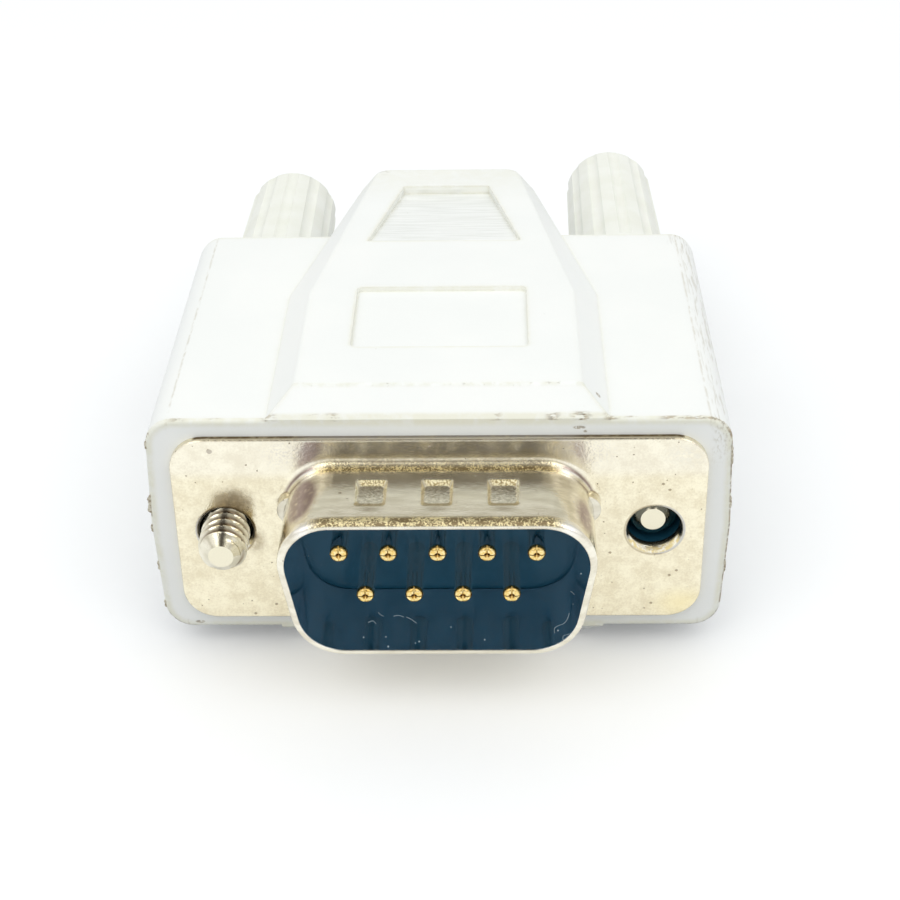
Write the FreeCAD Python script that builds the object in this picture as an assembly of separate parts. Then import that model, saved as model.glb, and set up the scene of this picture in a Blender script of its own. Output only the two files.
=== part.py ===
import FreeCAD, Part
import math
import os

from FreeCAD import Vector

# Serial loopback plug: a nine-way D connector in a moulded hood, held by two captive thumbscrews.
# It is drawn about the centre of the flange's front face and then set down on its lower hump.
# +X is to the right seen from the mating side, +Y runs away from it and +Z is up.

# Contacts
PIN_PITCH = 2.77
ROW_PITCH = 2.84
TOP_ROW_PINS = 5
PIN_DIAMETER = 1.02
PIN_REACH = 4.45
PIN_TIP_RADIUS = 0.25
PIN_PIT_DIAMETER = 0.36
PIN_PIT_DEPTH = 0.15
PIN_SEAM_WIDTH = 0.06
PIN_SEAM_DEPTH = 0.25
PIN_SEAM_TURNS = (0, 90)
PIN_NECK_DIAMETER = 0.68
PIN_NECK_LENGTH = 0.8
PIN_COLLAR_DIAMETER = 1.4
PIN_SHOULDER_DIAMETER = 1.75
PIN_SHOULDER_LENGTH = 0.8
CUP_DIAMETER = 1.75
CUP_BORE = 1.2
CUP_BORE_DEPTH = 2.2
CUP_REACH = 2.8

# Front shell, drawn from one sheet
SHEET = 0.45
FLANGE_WIDTH = 30.81
FLANGE_HEIGHT = 12.55
FLANGE_CORNER = 2.0
FLANGE_EDGE = 0.1
D_WIDTH = 16.92
D_HEIGHT = 8.36
D_CORNER = 2.6
D_LEAN = 10.0
SHROUD_WALL = 0.43
SHROUD_LENGTH = 5.86
RIM_ROLL = 0.36
ROOT_RADIUS = 0.5
BACK_ROOT_RADIUS = 0.7
EAR_HOLE_SPACING = 24.99
EAR_HOLE_DIAMETER = 3.15
COLLAR_WALL = 0.4
COLLAR_DEPTH = 1.06
HOLE_ENTRY_RADIUS = 0.22

# Grounding dimples in the top wall and the small bumps in the short ones
DIMPLE_PITCH = 3.7
DIMPLE_COUNT = 3
DIMPLE_WIDTH = 1.75
DIMPLE_LENGTH = 2.7
DIMPLE_DEPTH = 0.25
DIMPLE_SIDE_RUN = 0.15
DIMPLE_FRONT_RUN = 0.6
DIMPLE_BACK_RUN = 0.35
DIMPLE_CORNER = 0.25
DIMPLE_SETBACK = 2.85
BUMP_LENGTH = 0.9
BUMP_HEIGHT = 1.5
BUMP_RISE = 0.4
BUMP_LIFT = 2.05

# Insulators and rear shell, stacked behind the flange
FACE_DEPTH = 0.2
NOSE_CLEARANCE = 0.04
PLATE_MARGIN = 0.4
PLATE_CORNER = 1.7
FRONT_PLATE = 1.5
REAR_PLATE = 1.45
REAR_SHEET = 0.4
REAR_BLOCK_DEPTH = 3.9
PLATE_HOLE_DIAMETER = 3.5

# Jumper wires and the block moulded over them
WIRE_DIAMETER = 0.5
WIRE_RUN = 0.9
WIRE_SPLIT = 0.56
MOULD_FRONT_WIDTH = 19.0
MOULD_BACK_WIDTH = 14.0
MOULD_HEIGHT = 11.6
MOULD_CORNER = 2.4
MOULD_DEPTH = 18.0

# Hood: the ears that carry the screws
HOOD_WIDTH = 33.9
HOOD_HEIGHT = 14.7
HOOD_DRAFT = 2.2
HOOD_EDGE = 1.7
HOOD_DEPTH = 23.75
EAR_CORNER = 1.5
RIM_EDGE = 0.25

# Hood: the hump on each side and the tail behind the ears
HUMP_RISE = 1.5
HUMP_WIDTH = 19.5
HUMP_STRAIGHT = 15.05
HUMP_TAPER = 12.7
TAIL_LENGTH = 8.6
TAIL_CORNER = 1.6
HUMP_TOP_WIDTH = 16.3
HUMP_TOP_STRAIGHT = 12.65
HUMP_TOP_TAPER = 9.9
HUMP_FRONT_RUN = 1.45
HUMP_BACK_RUN = 0.8
HUMP_TOP_CORNER = 1.1
HUMP_TOP_EDGE = 0.35

# Hood: plain recess and ramped finger grip in each hump
RECESS_WIDTH = 10.5
RECESS_LENGTH = 7.6
RECESS_SETBACK = 5.75
RECESS_DEPTH = 0.3
RECESS_CORNER = 0.35
GRIP_FRONT_WIDTH = 10.0
GRIP_BACK_WIDTH = 5.9
GRIP_LENGTH = 8.6
GRIP_SETBACK = 19.95
GRIP_FRONT_DEPTH = 0.25
GRIP_DEPTH = 0.57

# Captive thumbscrews
SCREW_DIAMETER = 2.845
SCREW_TIP_FLAT = 1.45
SCREW_TIP_CHAMFER = 0.5
SCREW_HOME_REACH = 5.5
SHANK_DIAMETER = 2.2
RETAINER_HOME = 4.2
RETAINER_THICKNESS = 0.5
RETAINER_DIAMETER = 4.0
RETAINER_GAP = 1.4
GROOVE_DIAMETER = 1.8
GROOVE_CLEARANCE = 0.05
THREAD_TO_GROOVE = 0.3
TRAVEL = 8.0
LEFT_STAND_OFF = 3.0
RIGHT_STAND_OFF = 6.6
CHAMBER_DIAMETER = 4.4
NECK_DIAMETER = 2.6
STOP_CLEARANCE = 0.05

# Knobs
KNOB_LENGTH = 18.2
KNOB_DIAMETER = 7.25
KNOB_DRAFT = 1.1
KNOB_FRONT_EDGE = 0.4
KNOB_DOME = 1.5
FLUTE_COUNT = 12
FLUTE_RADIUS = 0.6
FLUTE_DEPTH = 0.22
FLUTE_START = 1.6
SLOT_WIDTH = 1.0
SLOT_DEPTH = 1.2
ANCHOR_DIAMETER = 3.2
ANCHOR_TAPER = 1.0
ANCHOR_LENGTH = 12.0
LEFT_TURN = 78.0
RIGHT_TURN = 20.0

# How far cutting solids run past what they cut, and how near two places count as the same
OVERCUT = 1.0
SAME = 0.001

# Worked out from the sizes above
REST_HEIGHT = HOOD_HEIGHT / 2 + HUMP_RISE
HOOD_FRONT = SHEET
EAR_BACK = HOOD_FRONT + HOOD_DEPTH
TAIL_BACK = EAR_BACK + TAIL_LENGTH
FRONT_PLATE_BACK = HOOD_FRONT + FRONT_PLATE
REAR_PLATE_BACK = FRONT_PLATE_BACK + REAR_PLATE
STACK_BACK = REAR_PLATE_BACK + REAR_SHEET
BLOCK_BACK = STACK_BACK + REAR_BLOCK_DEPTH
SHOULDER_FRONT = FRONT_PLATE_BACK - PIN_SHOULDER_LENGTH / 2
CUP_BACK = BLOCK_BACK + CUP_REACH
MOULD_BACK = STACK_BACK + MOULD_DEPTH
EAR_X = EAR_HOLE_SPACING / 2
NECK_FRONT = RETAINER_HOME + RETAINER_THICKNESS + TRAVEL + STOP_CLEARANCE
KNOB_BACK = EAR_BACK + RIGHT_STAND_OFF + KNOB_LENGTH
MIDDLE_Y = (KNOB_BACK - SHROUD_LENGTH) / 2


def rounded_wire(corners, radii):
    """A closed outline through the corners, each rounded to its own radius."""
    count = len(corners)
    stretches = []
    for index, corner in enumerate(corners):
        radius = radii[index]
        to_last = (corners[index - 1] - corner).normalize()
        to_next = (corners[(index + 1) % count] - corner).normalize()
        if radius == 0:
            stretches.append([corner])
            continue
        half_angle = to_last.getAngle(to_next) / 2
        reach = radius / math.tan(half_angle)
        middle = (to_last + to_next).normalize()
        arc_centre = corner + middle * (radius / math.sin(half_angle))
        stretches.append([corner + to_last * reach, arc_centre - middle * radius, corner + to_next * reach])
    edges = []
    for index, stretch in enumerate(stretches):
        if len(stretch) == 3:
            edges.append(Part.Arc(*stretch).toShape())
        edges.append(Part.makeLine(stretch[-1], stretches[(index + 1) % count][0]))
    return Part.Wire(edges)


def prism(wire, run):
    """The solid that a flat outline sweeps along a straight run."""
    return Part.Face(wire).extrude(run)


def along_y(length):
    return Vector(0, length, 0)


def rod(x, z, front, back, diameter):
    """A round bar, or the space of a round hole, along Y."""
    return Part.makeCylinder(diameter / 2, back - front, Vector(x, front, z), Vector(0, 1, 0))


def d_wire(width, height, corner, y):
    """The connector's D at depth y: wide side up, short sides leaning in towards the bottom."""
    lean = math.radians(D_LEAN)
    top = width / 2 - corner + corner * (1 + math.sin(lean)) / math.cos(lean)
    bottom = top - height * math.tan(lean)
    corners = [
        Vector(-top, y, height / 2),
        Vector(top, y, height / 2),
        Vector(bottom, y, -height / 2),
        Vector(-bottom, y, -height / 2),
    ]
    return rounded_wire(corners, [corner] * 4)


def d_solid(offset, front, back):
    """The D of the shroud's inside, grown by an offset, from front to back."""
    wire = d_wire(D_WIDTH + 2 * offset, D_HEIGHT + 2 * offset, D_CORNER + offset, front)
    return prism(wire, along_y(back - front))


def plate(width, height, corner, front, back):
    """A rounded rectangular plate across Y."""
    corners = [
        Vector(-width / 2, front, height / 2),
        Vector(width / 2, front, height / 2),
        Vector(width / 2, front, -height / 2),
        Vector(-width / 2, front, -height / 2),
    ]
    return prism(rounded_wire(corners, [corner] * 4), along_y(back - front))


def edges_at(shape, y, reach):
    """The edges that lie flat at depth y within a given distance of the D's centre line."""
    found = []
    for edge in shape.Edges:
        box = edge.BoundBox
        flat = abs(box.YMin - y) < SAME and abs(box.YMax - y) < SAME
        if flat and max(abs(box.XMin), abs(box.XMax)) < reach:
            found.append(edge)
    return found


def pin_places():
    """Number, x and z of each contact, numbered from the top left of the mating face."""
    places = []
    for index in range(TOP_ROW_PINS):
        places.append((index + 1, (index - (TOP_ROW_PINS - 1) / 2) * PIN_PITCH, ROW_PITCH / 2))
    for index in range(TOP_ROW_PINS - 1):
        number = TOP_ROW_PINS + index + 1
        places.append((number, (index - (TOP_ROW_PINS - 2) / 2) * PIN_PITCH, -ROW_PITCH / 2))
    return places


def ear_holes(front, back, diameter):
    """The pair of round spaces on the two screw axes."""
    return rod(-EAR_X, 0, front, back, diameter).fuse(rod(EAR_X, 0, front, back, diameter))


def make_dimples():
    """The tapered pockets pressed into the top wall from outside, and the bosses that they raise inside."""
    pockets = []
    bosses = []
    for index in range(DIMPLE_COUNT):
        x = (index - (DIMPLE_COUNT - 1) / 2) * DIMPLE_PITCH
        for solids, surface in ((pockets, D_HEIGHT / 2 + SHROUD_WALL), (bosses, D_HEIGHT / 2)):
            sections = []
            for share in (0, 1):
                half = DIMPLE_WIDTH / 2 - share * DIMPLE_SIDE_RUN
                front = -DIMPLE_SETBACK - DIMPLE_LENGTH / 2 + share * DIMPLE_FRONT_RUN
                back = -DIMPLE_SETBACK + DIMPLE_LENGTH / 2 - share * DIMPLE_BACK_RUN
                z = surface - share * DIMPLE_DEPTH
                corners = [
                    Vector(x - half, front, z),
                    Vector(x + half, front, z),
                    Vector(x + half, back, z),
                    Vector(x - half, back, z),
                ]
                sections.append(rounded_wire(corners, [DIMPLE_CORNER] * 4))
            solids.append(Part.makeLoft(sections, True, True))
    return pockets, bosses


def make_bumps():
    """The small rounded bump at the root of each short wall."""
    bumps = []
    wall_outside = D_WIDTH / 2 + SHROUD_WALL
    radius = (BUMP_HEIGHT ** 2 / 4 + BUMP_RISE ** 2) / (2 * BUMP_RISE)
    for side in (1, -1):
        centre_x = side * (wall_outside + BUMP_RISE - radius)
        disc = rod(centre_x, BUMP_LIFT, -BUMP_LENGTH, 0, 2 * radius)
        bumps.append(disc.cut(d_solid(SHROUD_WALL / 2, -BUMP_LENGTH - OVERCUT, OVERCUT)))
    return bumps


def make_front_shell():
    flange = plate(FLANGE_WIDTH, FLANGE_HEIGHT, FLANGE_CORNER, 0, SHEET)
    flange = flange.makeFillet(FLANGE_EDGE, edges_at(flange, 0, FLANGE_WIDTH))
    shell = flange.fuse(d_solid(SHROUD_WALL, -SHROUD_LENGTH, 0)).removeSplitter()
    shell = shell.makeFillet(ROOT_RADIUS, edges_at(shell, 0, D_WIDTH / 2 + 2 * SHROUD_WALL))
    shell = shell.makeFillet(RIM_ROLL, edges_at(shell, -SHROUD_LENGTH, D_WIDTH))
    pockets, bosses = make_dimples()
    shell = shell.cut(d_solid(0, -SHROUD_LENGTH - OVERCUT, SHEET + OVERCUT))
    shell = shell.makeFillet(BACK_ROOT_RADIUS, edges_at(shell, SHEET, D_WIDTH / 2 + SHROUD_WALL))
    for pocket in pockets:
        shell = shell.cut(pocket)
    for boss in bosses:
        shell = shell.fuse(boss)
    for bump in make_bumps():
        shell = shell.fuse(bump)
    shell = shell.fuse(ear_holes(SHEET, COLLAR_DEPTH, EAR_HOLE_DIAMETER + 2 * COLLAR_WALL))
    shell = shell.cut(ear_holes(-OVERCUT, COLLAR_DEPTH + OVERCUT, EAR_HOLE_DIAMETER)).removeSplitter()
    entries = []
    for edge in shell.Edges:
        box = edge.BoundBox
        at_front = box.YLength < SAME and abs(box.YMin) < SAME
        if at_front and abs(box.XLength - EAR_HOLE_DIAMETER) < SAME:
            entries.append(edge)
    return shell.makeFillet(HOLE_ENTRY_RADIUS, entries)


def make_front_insulator(pins):
    """The plate behind the flange, with a nose that flares along the shell's bend."""
    width = FLANGE_WIDTH - 2 * PLATE_MARGIN
    height = FLANGE_HEIGHT - 2 * PLATE_MARGIN
    flare = BACK_ROOT_RADIUS + NOSE_CLEARANCE
    block = plate(width, height, PLATE_CORNER, HOOD_FRONT, FRONT_PLATE_BACK)
    block = block.fuse(d_solid(-NOSE_CLEARANCE, HOOD_FRONT - flare - OVERCUT, HOOD_FRONT)).removeSplitter()
    block = block.makeFillet(flare, edges_at(block, HOOD_FRONT, D_WIDTH / 2 + SHROUD_WALL))
    block = block.cut(d_solid(flare, HOOD_FRONT - flare - 2 * OVERCUT, FACE_DEPTH))
    block = block.cut(ear_holes(0, FRONT_PLATE_BACK, PLATE_HOLE_DIAMETER))
    block = block.cut(ear_holes(0, COLLAR_DEPTH, EAR_HOLE_DIAMETER + 2 * COLLAR_WALL))
    return block.cut(pins)


def make_rear_insulator(pins):
    width = FLANGE_WIDTH - 2 * PLATE_MARGIN
    height = FLANGE_HEIGHT - 2 * PLATE_MARGIN
    block = plate(width, height, PLATE_CORNER, FRONT_PLATE_BACK, REAR_PLATE_BACK)
    block = block.fuse(d_solid(0, REAR_PLATE_BACK, BLOCK_BACK))
    block = block.cut(ear_holes(0, STACK_BACK, PLATE_HOLE_DIAMETER))
    return block.cut(pins)


def make_rear_shell():
    width = FLANGE_WIDTH - 2 * PLATE_MARGIN
    height = FLANGE_HEIGHT - 2 * PLATE_MARGIN
    shell = plate(width, height, PLATE_CORNER, REAR_PLATE_BACK, STACK_BACK)
    shell = shell.fuse(d_solid(REAR_SHEET, REAR_PLATE_BACK, BLOCK_BACK))
    shell = shell.cut(d_solid(0, REAR_PLATE_BACK - OVERCUT, BLOCK_BACK + OVERCUT))
    return shell.cut(ear_holes(0, STACK_BACK + OVERCUT, PLATE_HOLE_DIAMETER)).removeSplitter()


def make_pin(x, z):
    """A contact: rounded tip, shaft, neck and collar in the insulator, shoulder and solder cup."""
    neck_back = FACE_DEPTH + PIN_NECK_LENGTH
    profile = [
        (0, -PIN_REACH),
        (PIN_DIAMETER / 2, -PIN_REACH),
        (PIN_DIAMETER / 2, FACE_DEPTH),
        (PIN_NECK_DIAMETER / 2, FACE_DEPTH),
        (PIN_NECK_DIAMETER / 2, neck_back),
        (PIN_COLLAR_DIAMETER / 2, neck_back),
        (PIN_COLLAR_DIAMETER / 2, SHOULDER_FRONT),
        (PIN_SHOULDER_DIAMETER / 2, SHOULDER_FRONT),
        (PIN_SHOULDER_DIAMETER / 2, SHOULDER_FRONT + PIN_SHOULDER_LENGTH),
        (PIN_COLLAR_DIAMETER / 2, SHOULDER_FRONT + PIN_SHOULDER_LENGTH),
        (PIN_COLLAR_DIAMETER / 2, BLOCK_BACK),
        (CUP_DIAMETER / 2, BLOCK_BACK),
        (CUP_DIAMETER / 2, CUP_BACK),
        (CUP_BORE / 2, CUP_BACK),
        (CUP_BORE / 2, CUP_BACK - CUP_BORE_DEPTH),
        (0, CUP_BACK - CUP_BORE_DEPTH),
    ]
    pin = turned(profile, 0, 0)
    pin = pin.makeFillet(PIN_TIP_RADIUS, edges_at(pin, -PIN_REACH, PIN_DIAMETER))
    pin = pin.cut(Part.makeCone(PIN_PIT_DIAMETER / 2, 0, PIN_PIT_DEPTH, Vector(0, -PIN_REACH, 0), along_y(1)))
    seam = Part.makeBox(PIN_SEAM_WIDTH, PIN_SEAM_DEPTH + OVERCUT, PIN_DIAMETER)
    seam.translate(Vector(-PIN_SEAM_WIDTH / 2, -PIN_REACH - OVERCUT, -PIN_DIAMETER / 2))
    for angle in PIN_SEAM_TURNS:
        turned_seam = seam.copy()
        turned_seam.rotate(Vector(0, 0, 0), Vector(0, 1, 0), angle)
        pin = pin.cut(turned_seam)
    pin.translate(Vector(x, 0, z))
    return pin


def turned(profile, x, z):
    """The solid turned about a line along Y through x and z, from pairs of radius and depth."""
    points = [Vector(radius, depth, 0) for radius, depth in profile]
    face = Part.Face(Part.makePolygon(points + points[:1]))
    solid = face.revolve(Vector(0, 0, 0), Vector(0, 1, 0), 360)
    solid.translate(Vector(x, 0, z))
    return solid


def make_jumper(first, second):
    """A wire that leaves one solder cup, turns back in a half circle and enters the other."""
    seat = CUP_BACK - CUP_BORE_DEPTH
    start = Vector(first[0], seat, first[1])
    end = Vector(second[0], seat, second[1])
    turn = Vector(0, CUP_BORE_DEPTH + WIRE_RUN, 0)
    span = (end - start).Length
    top = (start + end) / 2 + turn + Vector(0, span / 2, 0)
    edges = [
        Part.makeLine(start, start + turn),
        Part.Arc(start + turn, top, end + turn).toShape(),
        Part.makeLine(end + turn, end),
    ]
    section = Part.Wire(Part.makeCircle(WIRE_DIAMETER / 2, start, Vector(0, 1, 0)))
    return Part.Wire(edges).makePipeShell([section], True, False)


def make_jumpers():
    """Received to sent data, request to clear to send, and ready lines to carrier detect."""
    place = {number: (x, z) for number, x, z in pin_places()}
    left_half = (place[6][0] - WIRE_SPLIT / 2, place[6][1])
    right_half = (place[6][0] + WIRE_SPLIT / 2, place[6][1])
    return {
        "jumper_2_3": make_jumper(place[2], place[3]),
        "jumper_7_8": make_jumper(place[7], place[8]),
        "jumper_1_6": make_jumper(place[1], left_half),
        "jumper_4_6": make_jumper(place[4], right_half),
    }


def make_inner_mould(held):
    """The tapered block moulded over the back of the connector, cut to the shape of all it holds."""
    sections = []
    for depth, width in ((STACK_BACK, MOULD_FRONT_WIDTH), (MOULD_BACK, MOULD_BACK_WIDTH)):
        corners = [
            Vector(-width / 2, depth, MOULD_HEIGHT / 2),
            Vector(width / 2, depth, MOULD_HEIGHT / 2),
            Vector(width / 2, depth, -MOULD_HEIGHT / 2),
            Vector(-width / 2, depth, -MOULD_HEIGHT / 2),
        ]
        sections.append(rounded_wire(corners, [MOULD_CORNER] * 4))
    block = Part.makeLoft(sections, True, True)
    for solid in held:
        block = block.cut(solid)
    return block


def plan_wire(points, radii, z):
    """A closed outline at one height that is the same left and right of the middle."""
    right = [Vector(x, y, z) for x, y in points]
    left = [Vector(-x, y, z) for x, y in reversed(points)]
    return rounded_wire(right + left, radii + radii[::-1])


def hump_points(width, straight, taper, front_run, back_run):
    """Half of a hump's plan: straight from the front, then tapering to the back of the tail."""
    half = width / 2
    bend = HOOD_FRONT + straight
    back = TAIL_BACK - back_run
    narrowing = (back - bend) * math.tan(math.radians(taper))
    return [(half, HOOD_FRONT + front_run), (half, bend), (half - narrowing, back)]


def make_ears():
    """The drafted block across the front, widest at the parting line half-way up."""
    half = HOOD_WIDTH / 2
    top_half = half - HOOD_HEIGHT / 2 * math.tan(math.radians(HOOD_DRAFT))
    corners = [
        Vector(-top_half, HOOD_FRONT, HOOD_HEIGHT / 2),
        Vector(top_half, HOOD_FRONT, HOOD_HEIGHT / 2),
        Vector(half, HOOD_FRONT, 0),
        Vector(top_half, HOOD_FRONT, -HOOD_HEIGHT / 2),
        Vector(-top_half, HOOD_FRONT, -HOOD_HEIGHT / 2),
        Vector(-half, HOOD_FRONT, 0),
    ]
    rounds = [HOOD_EDGE, HOOD_EDGE, 0, HOOD_EDGE, HOOD_EDGE, 0]
    block = prism(rounded_wire(corners, rounds), along_y(HOOD_DEPTH))
    front_corner = (half + OVERCUT, HOOD_FRONT - OVERCUT)
    plan = plan_wire([front_corner, (half, EAR_BACK)], [0, EAR_CORNER], -HOOD_HEIGHT)
    block = block.common(prism(plan, Vector(0, 0, 2 * HOOD_HEIGHT)))
    block = block.makeFillet(RIM_EDGE, edges_at(block, HOOD_FRONT, HOOD_WIDTH))
    return block


def make_hump():
    """The tail and both humps: a straight-sided core with a sloped plateau above and below."""
    base = hump_points(HUMP_WIDTH, HUMP_STRAIGHT, HUMP_TAPER, 0, 0)
    plateau = hump_points(HUMP_TOP_WIDTH, HUMP_TOP_STRAIGHT, HUMP_TOP_TAPER, HUMP_FRONT_RUN, HUMP_BACK_RUN)
    core = prism(plan_wire(base, [0, 0, TAIL_CORNER], -HOOD_HEIGHT / 2), Vector(0, 0, HOOD_HEIGHT))
    low = plan_wire(base, [0, 0, TAIL_CORNER], HOOD_HEIGHT / 2)
    high = plan_wire(plateau, [0, 0, HUMP_TOP_CORNER], REST_HEIGHT)
    upper = Part.makeLoft([low, high], True, True)
    brow = [edge for edge in upper.Edges if edge.BoundBox.ZMin > REST_HEIGHT - SAME]
    upper = upper.makeFillet(HUMP_TOP_EDGE, brow)
    lower = upper.mirror(Vector(0, 0, 0), Vector(0, 0, 1))
    return core.fuse([upper, lower]).removeSplitter()


def make_recess():
    """The shallow rectangle in the hump's flat, as a solid to cut away."""
    front = HOOD_FRONT + RECESS_SETBACK
    wire = plan_wire(
        [(RECESS_WIDTH / 2, front), (RECESS_WIDTH / 2, front + RECESS_LENGTH)],
        [RECESS_CORNER, RECESS_CORNER],
        REST_HEIGHT - RECESS_DEPTH,
    )
    return prism(wire, Vector(0, 0, 2 * RECESS_DEPTH))


def make_grip():
    """The finger grip: a tapered ramp that deepens from its front end to a wall near the tail."""
    front = HOOD_FRONT + GRIP_SETBACK
    back = front + GRIP_LENGTH
    plan = plan_wire(
        [(GRIP_FRONT_WIDTH / 2, front), (GRIP_BACK_WIDTH / 2, back)],
        [0, 0],
        REST_HEIGHT - 2 * GRIP_DEPTH,
    )
    slope = (GRIP_DEPTH - GRIP_FRONT_DEPTH) / GRIP_LENGTH
    ramp = Part.makePolygon([
        Vector(-GRIP_FRONT_WIDTH, front, REST_HEIGHT - GRIP_FRONT_DEPTH),
        Vector(-GRIP_FRONT_WIDTH, back + OVERCUT, REST_HEIGHT - GRIP_DEPTH - slope * OVERCUT),
        Vector(-GRIP_FRONT_WIDTH, back + OVERCUT, REST_HEIGHT + OVERCUT),
        Vector(-GRIP_FRONT_WIDTH, front, REST_HEIGHT + OVERCUT),
        Vector(-GRIP_FRONT_WIDTH, front, REST_HEIGHT - GRIP_FRONT_DEPTH),
    ])
    return prism(plan, Vector(0, 0, 4 * GRIP_DEPTH)).common(prism(ramp, Vector(2 * GRIP_FRONT_WIDTH, 0, 0)))


def make_hood(held):
    """The moulded hood, with stepped screw bores and the space of all that it holds."""
    hood = make_ears().fuse(make_hump()).removeSplitter()
    for cutter in (make_recess(), make_grip()):
        hood = hood.cut(cutter)
        hood = hood.cut(cutter.mirror(Vector(0, 0, 0), Vector(0, 0, 1)))
    for solid in held:
        hood = hood.cut(solid)
    hood = hood.cut(ear_holes(HOOD_FRONT, NECK_FRONT, CHAMBER_DIAMETER))
    return hood.cut(ear_holes(NECK_FRONT, EAR_BACK + OVERCUT, NECK_DIAMETER))


def make_screw():
    """One turned screw with its knob home: tip, thread, groove for the retainer, shank and anchor."""
    tip = -SCREW_HOME_REACH
    groove_front = RETAINER_HOME - GROOVE_CLEARANCE
    groove_back = RETAINER_HOME + RETAINER_THICKNESS + GROOVE_CLEARANCE
    thread_back = groove_front - THREAD_TO_GROOVE
    profile = [
        (0, tip),
        (SCREW_TIP_FLAT / 2, tip),
        (SCREW_DIAMETER / 2, tip + SCREW_TIP_CHAMFER),
        (SCREW_DIAMETER / 2, thread_back),
        (SHANK_DIAMETER / 2, thread_back),
        (SHANK_DIAMETER / 2, groove_front),
        (GROOVE_DIAMETER / 2, groove_front),
        (GROOVE_DIAMETER / 2, groove_back),
        (SHANK_DIAMETER / 2, groove_back),
        (SHANK_DIAMETER / 2, EAR_BACK),
        (ANCHOR_DIAMETER / 2, EAR_BACK + ANCHOR_TAPER),
        (ANCHOR_DIAMETER / 2, EAR_BACK + ANCHOR_LENGTH),
        (0, EAR_BACK + ANCHOR_LENGTH),
    ]
    return turned(profile, 0, 0)


def make_knob(screw):
    """The fluted knob, home against the ear: tapered body, domed end and a slot across it."""
    front = EAR_BACK
    back = front + KNOB_LENGTH
    radius = KNOB_DIAMETER / 2
    end_radius = radius - KNOB_LENGTH * math.tan(math.radians(KNOB_DRAFT))
    body = turned([(0, front), (radius, front), (end_radius, back), (0, back)], 0, 0)
    body = body.makeFillet(KNOB_DOME, edges_at(body, back, KNOB_DIAMETER))
    body = body.makeChamfer(KNOB_FRONT_EDGE, edges_at(body, front, KNOB_DIAMETER))
    flutes = []
    for index in range(FLUTE_COUNT):
        angle = 2 * math.pi * (index + 0.5) / FLUTE_COUNT
        lean = math.radians(KNOB_DRAFT)
        outward = Vector(math.cos(angle), 0, math.sin(angle))
        start_radius = radius - FLUTE_START * math.tan(lean) + FLUTE_RADIUS - FLUTE_DEPTH
        start = outward * start_radius + Vector(0, front + FLUTE_START, 0)
        direction = Vector(0, math.cos(lean), 0) - outward * math.sin(lean)
        flutes.append(Part.makeCylinder(FLUTE_RADIUS, KNOB_LENGTH, start, direction))
    body = body.cut(flutes)
    slot = Part.makeBox(SLOT_WIDTH, SLOT_DEPTH + OVERCUT, KNOB_DIAMETER + 2 * OVERCUT)
    slot.translate(Vector(-SLOT_WIDTH / 2, back - SLOT_DEPTH, -KNOB_DIAMETER / 2 - OVERCUT))
    return body.cut(slot).cut(screw)


def make_retainer():
    """The open ring that snaps into the screw's groove."""
    ring = rod(0, 0, RETAINER_HOME, RETAINER_HOME + RETAINER_THICKNESS, RETAINER_DIAMETER)
    bore = GROOVE_DIAMETER + 2 * GROOVE_CLEARANCE
    ring = ring.cut(rod(0, 0, RETAINER_HOME - OVERCUT, RETAINER_HOME + RETAINER_THICKNESS + OVERCUT, bore))
    gap = Part.makeBox(RETAINER_GAP, RETAINER_THICKNESS + 2 * OVERCUT, RETAINER_DIAMETER)
    gap.translate(Vector(-RETAINER_GAP / 2, RETAINER_HOME - OVERCUT, 0))
    return ring.cut(gap)


def make_thumbscrews():
    """Both screws with their knobs and retainers, each drawn back by its own stand-off."""
    parts = {}
    for side, x, stand_off, turn in (
        ("left", -EAR_X, LEFT_STAND_OFF, LEFT_TURN),
        ("right", EAR_X, RIGHT_STAND_OFF, RIGHT_TURN),
    ):
        screw = make_screw()
        for name, solid in (("screw", screw), ("knob", make_knob(screw)), ("retainer", make_retainer())):
            if name != "retainer":
                solid.rotate(Vector(0, 0, 0), Vector(0, 1, 0), turn)
            solid.translate(Vector(x, stand_off, 0))
            parts[f"{side}_{name}"] = solid
    return parts


def make_parts():
    pins = {f"pin_{number}": make_pin(x, z) for number, x, z in pin_places()}
    pin_group = Part.makeCompound(list(pins.values()))
    front_shell = make_front_shell()
    front_insulator = make_front_insulator(pin_group)
    rear_insulator = make_rear_insulator(pin_group)
    rear_shell = make_rear_shell()
    jumpers = make_jumpers()
    inner_mould = make_inner_mould([rear_shell, rear_insulator, pin_group, *jumpers.values()])
    stack = plate(
        FLANGE_WIDTH - 2 * PLATE_MARGIN,
        FLANGE_HEIGHT - 2 * PLATE_MARGIN,
        PLATE_CORNER,
        HOOD_FRONT,
        STACK_BACK,
    )
    mould_space = make_inner_mould([])
    block_space = d_solid(REAR_SHEET, REAR_PLATE_BACK, BLOCK_BACK)
    parts = {
        "hood": make_hood([stack, mould_space, block_space]),
        "inner_mould": inner_mould,
        "front_shell": front_shell,
        "front_insulator": front_insulator,
        "rear_insulator": rear_insulator,
        "rear_shell": rear_shell,
    }
    parts.update(pins)
    parts.update(jumpers)
    parts.update(make_thumbscrews())
    return parts


os.makedirs("parts", exist_ok=True)
for node, solid in make_parts().items():
    solid.translate(Vector(0, -MIDDLE_Y, REST_HEIGHT))
    solid.exportStep(f"parts/{node}.step")
    box = solid.BoundBox
    size = f"{box.XLength:.2f} x {box.YLength:.2f} x {box.ZLength:.2f} mm"
    print(f"{node}: {len(solid.Solids)} solid, valid {solid.isValid()}, {solid.Volume:.2f} mm3, {size}")
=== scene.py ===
import bpy
import bmesh
import math
import random

from mathutils import Matrix, Vector


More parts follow.
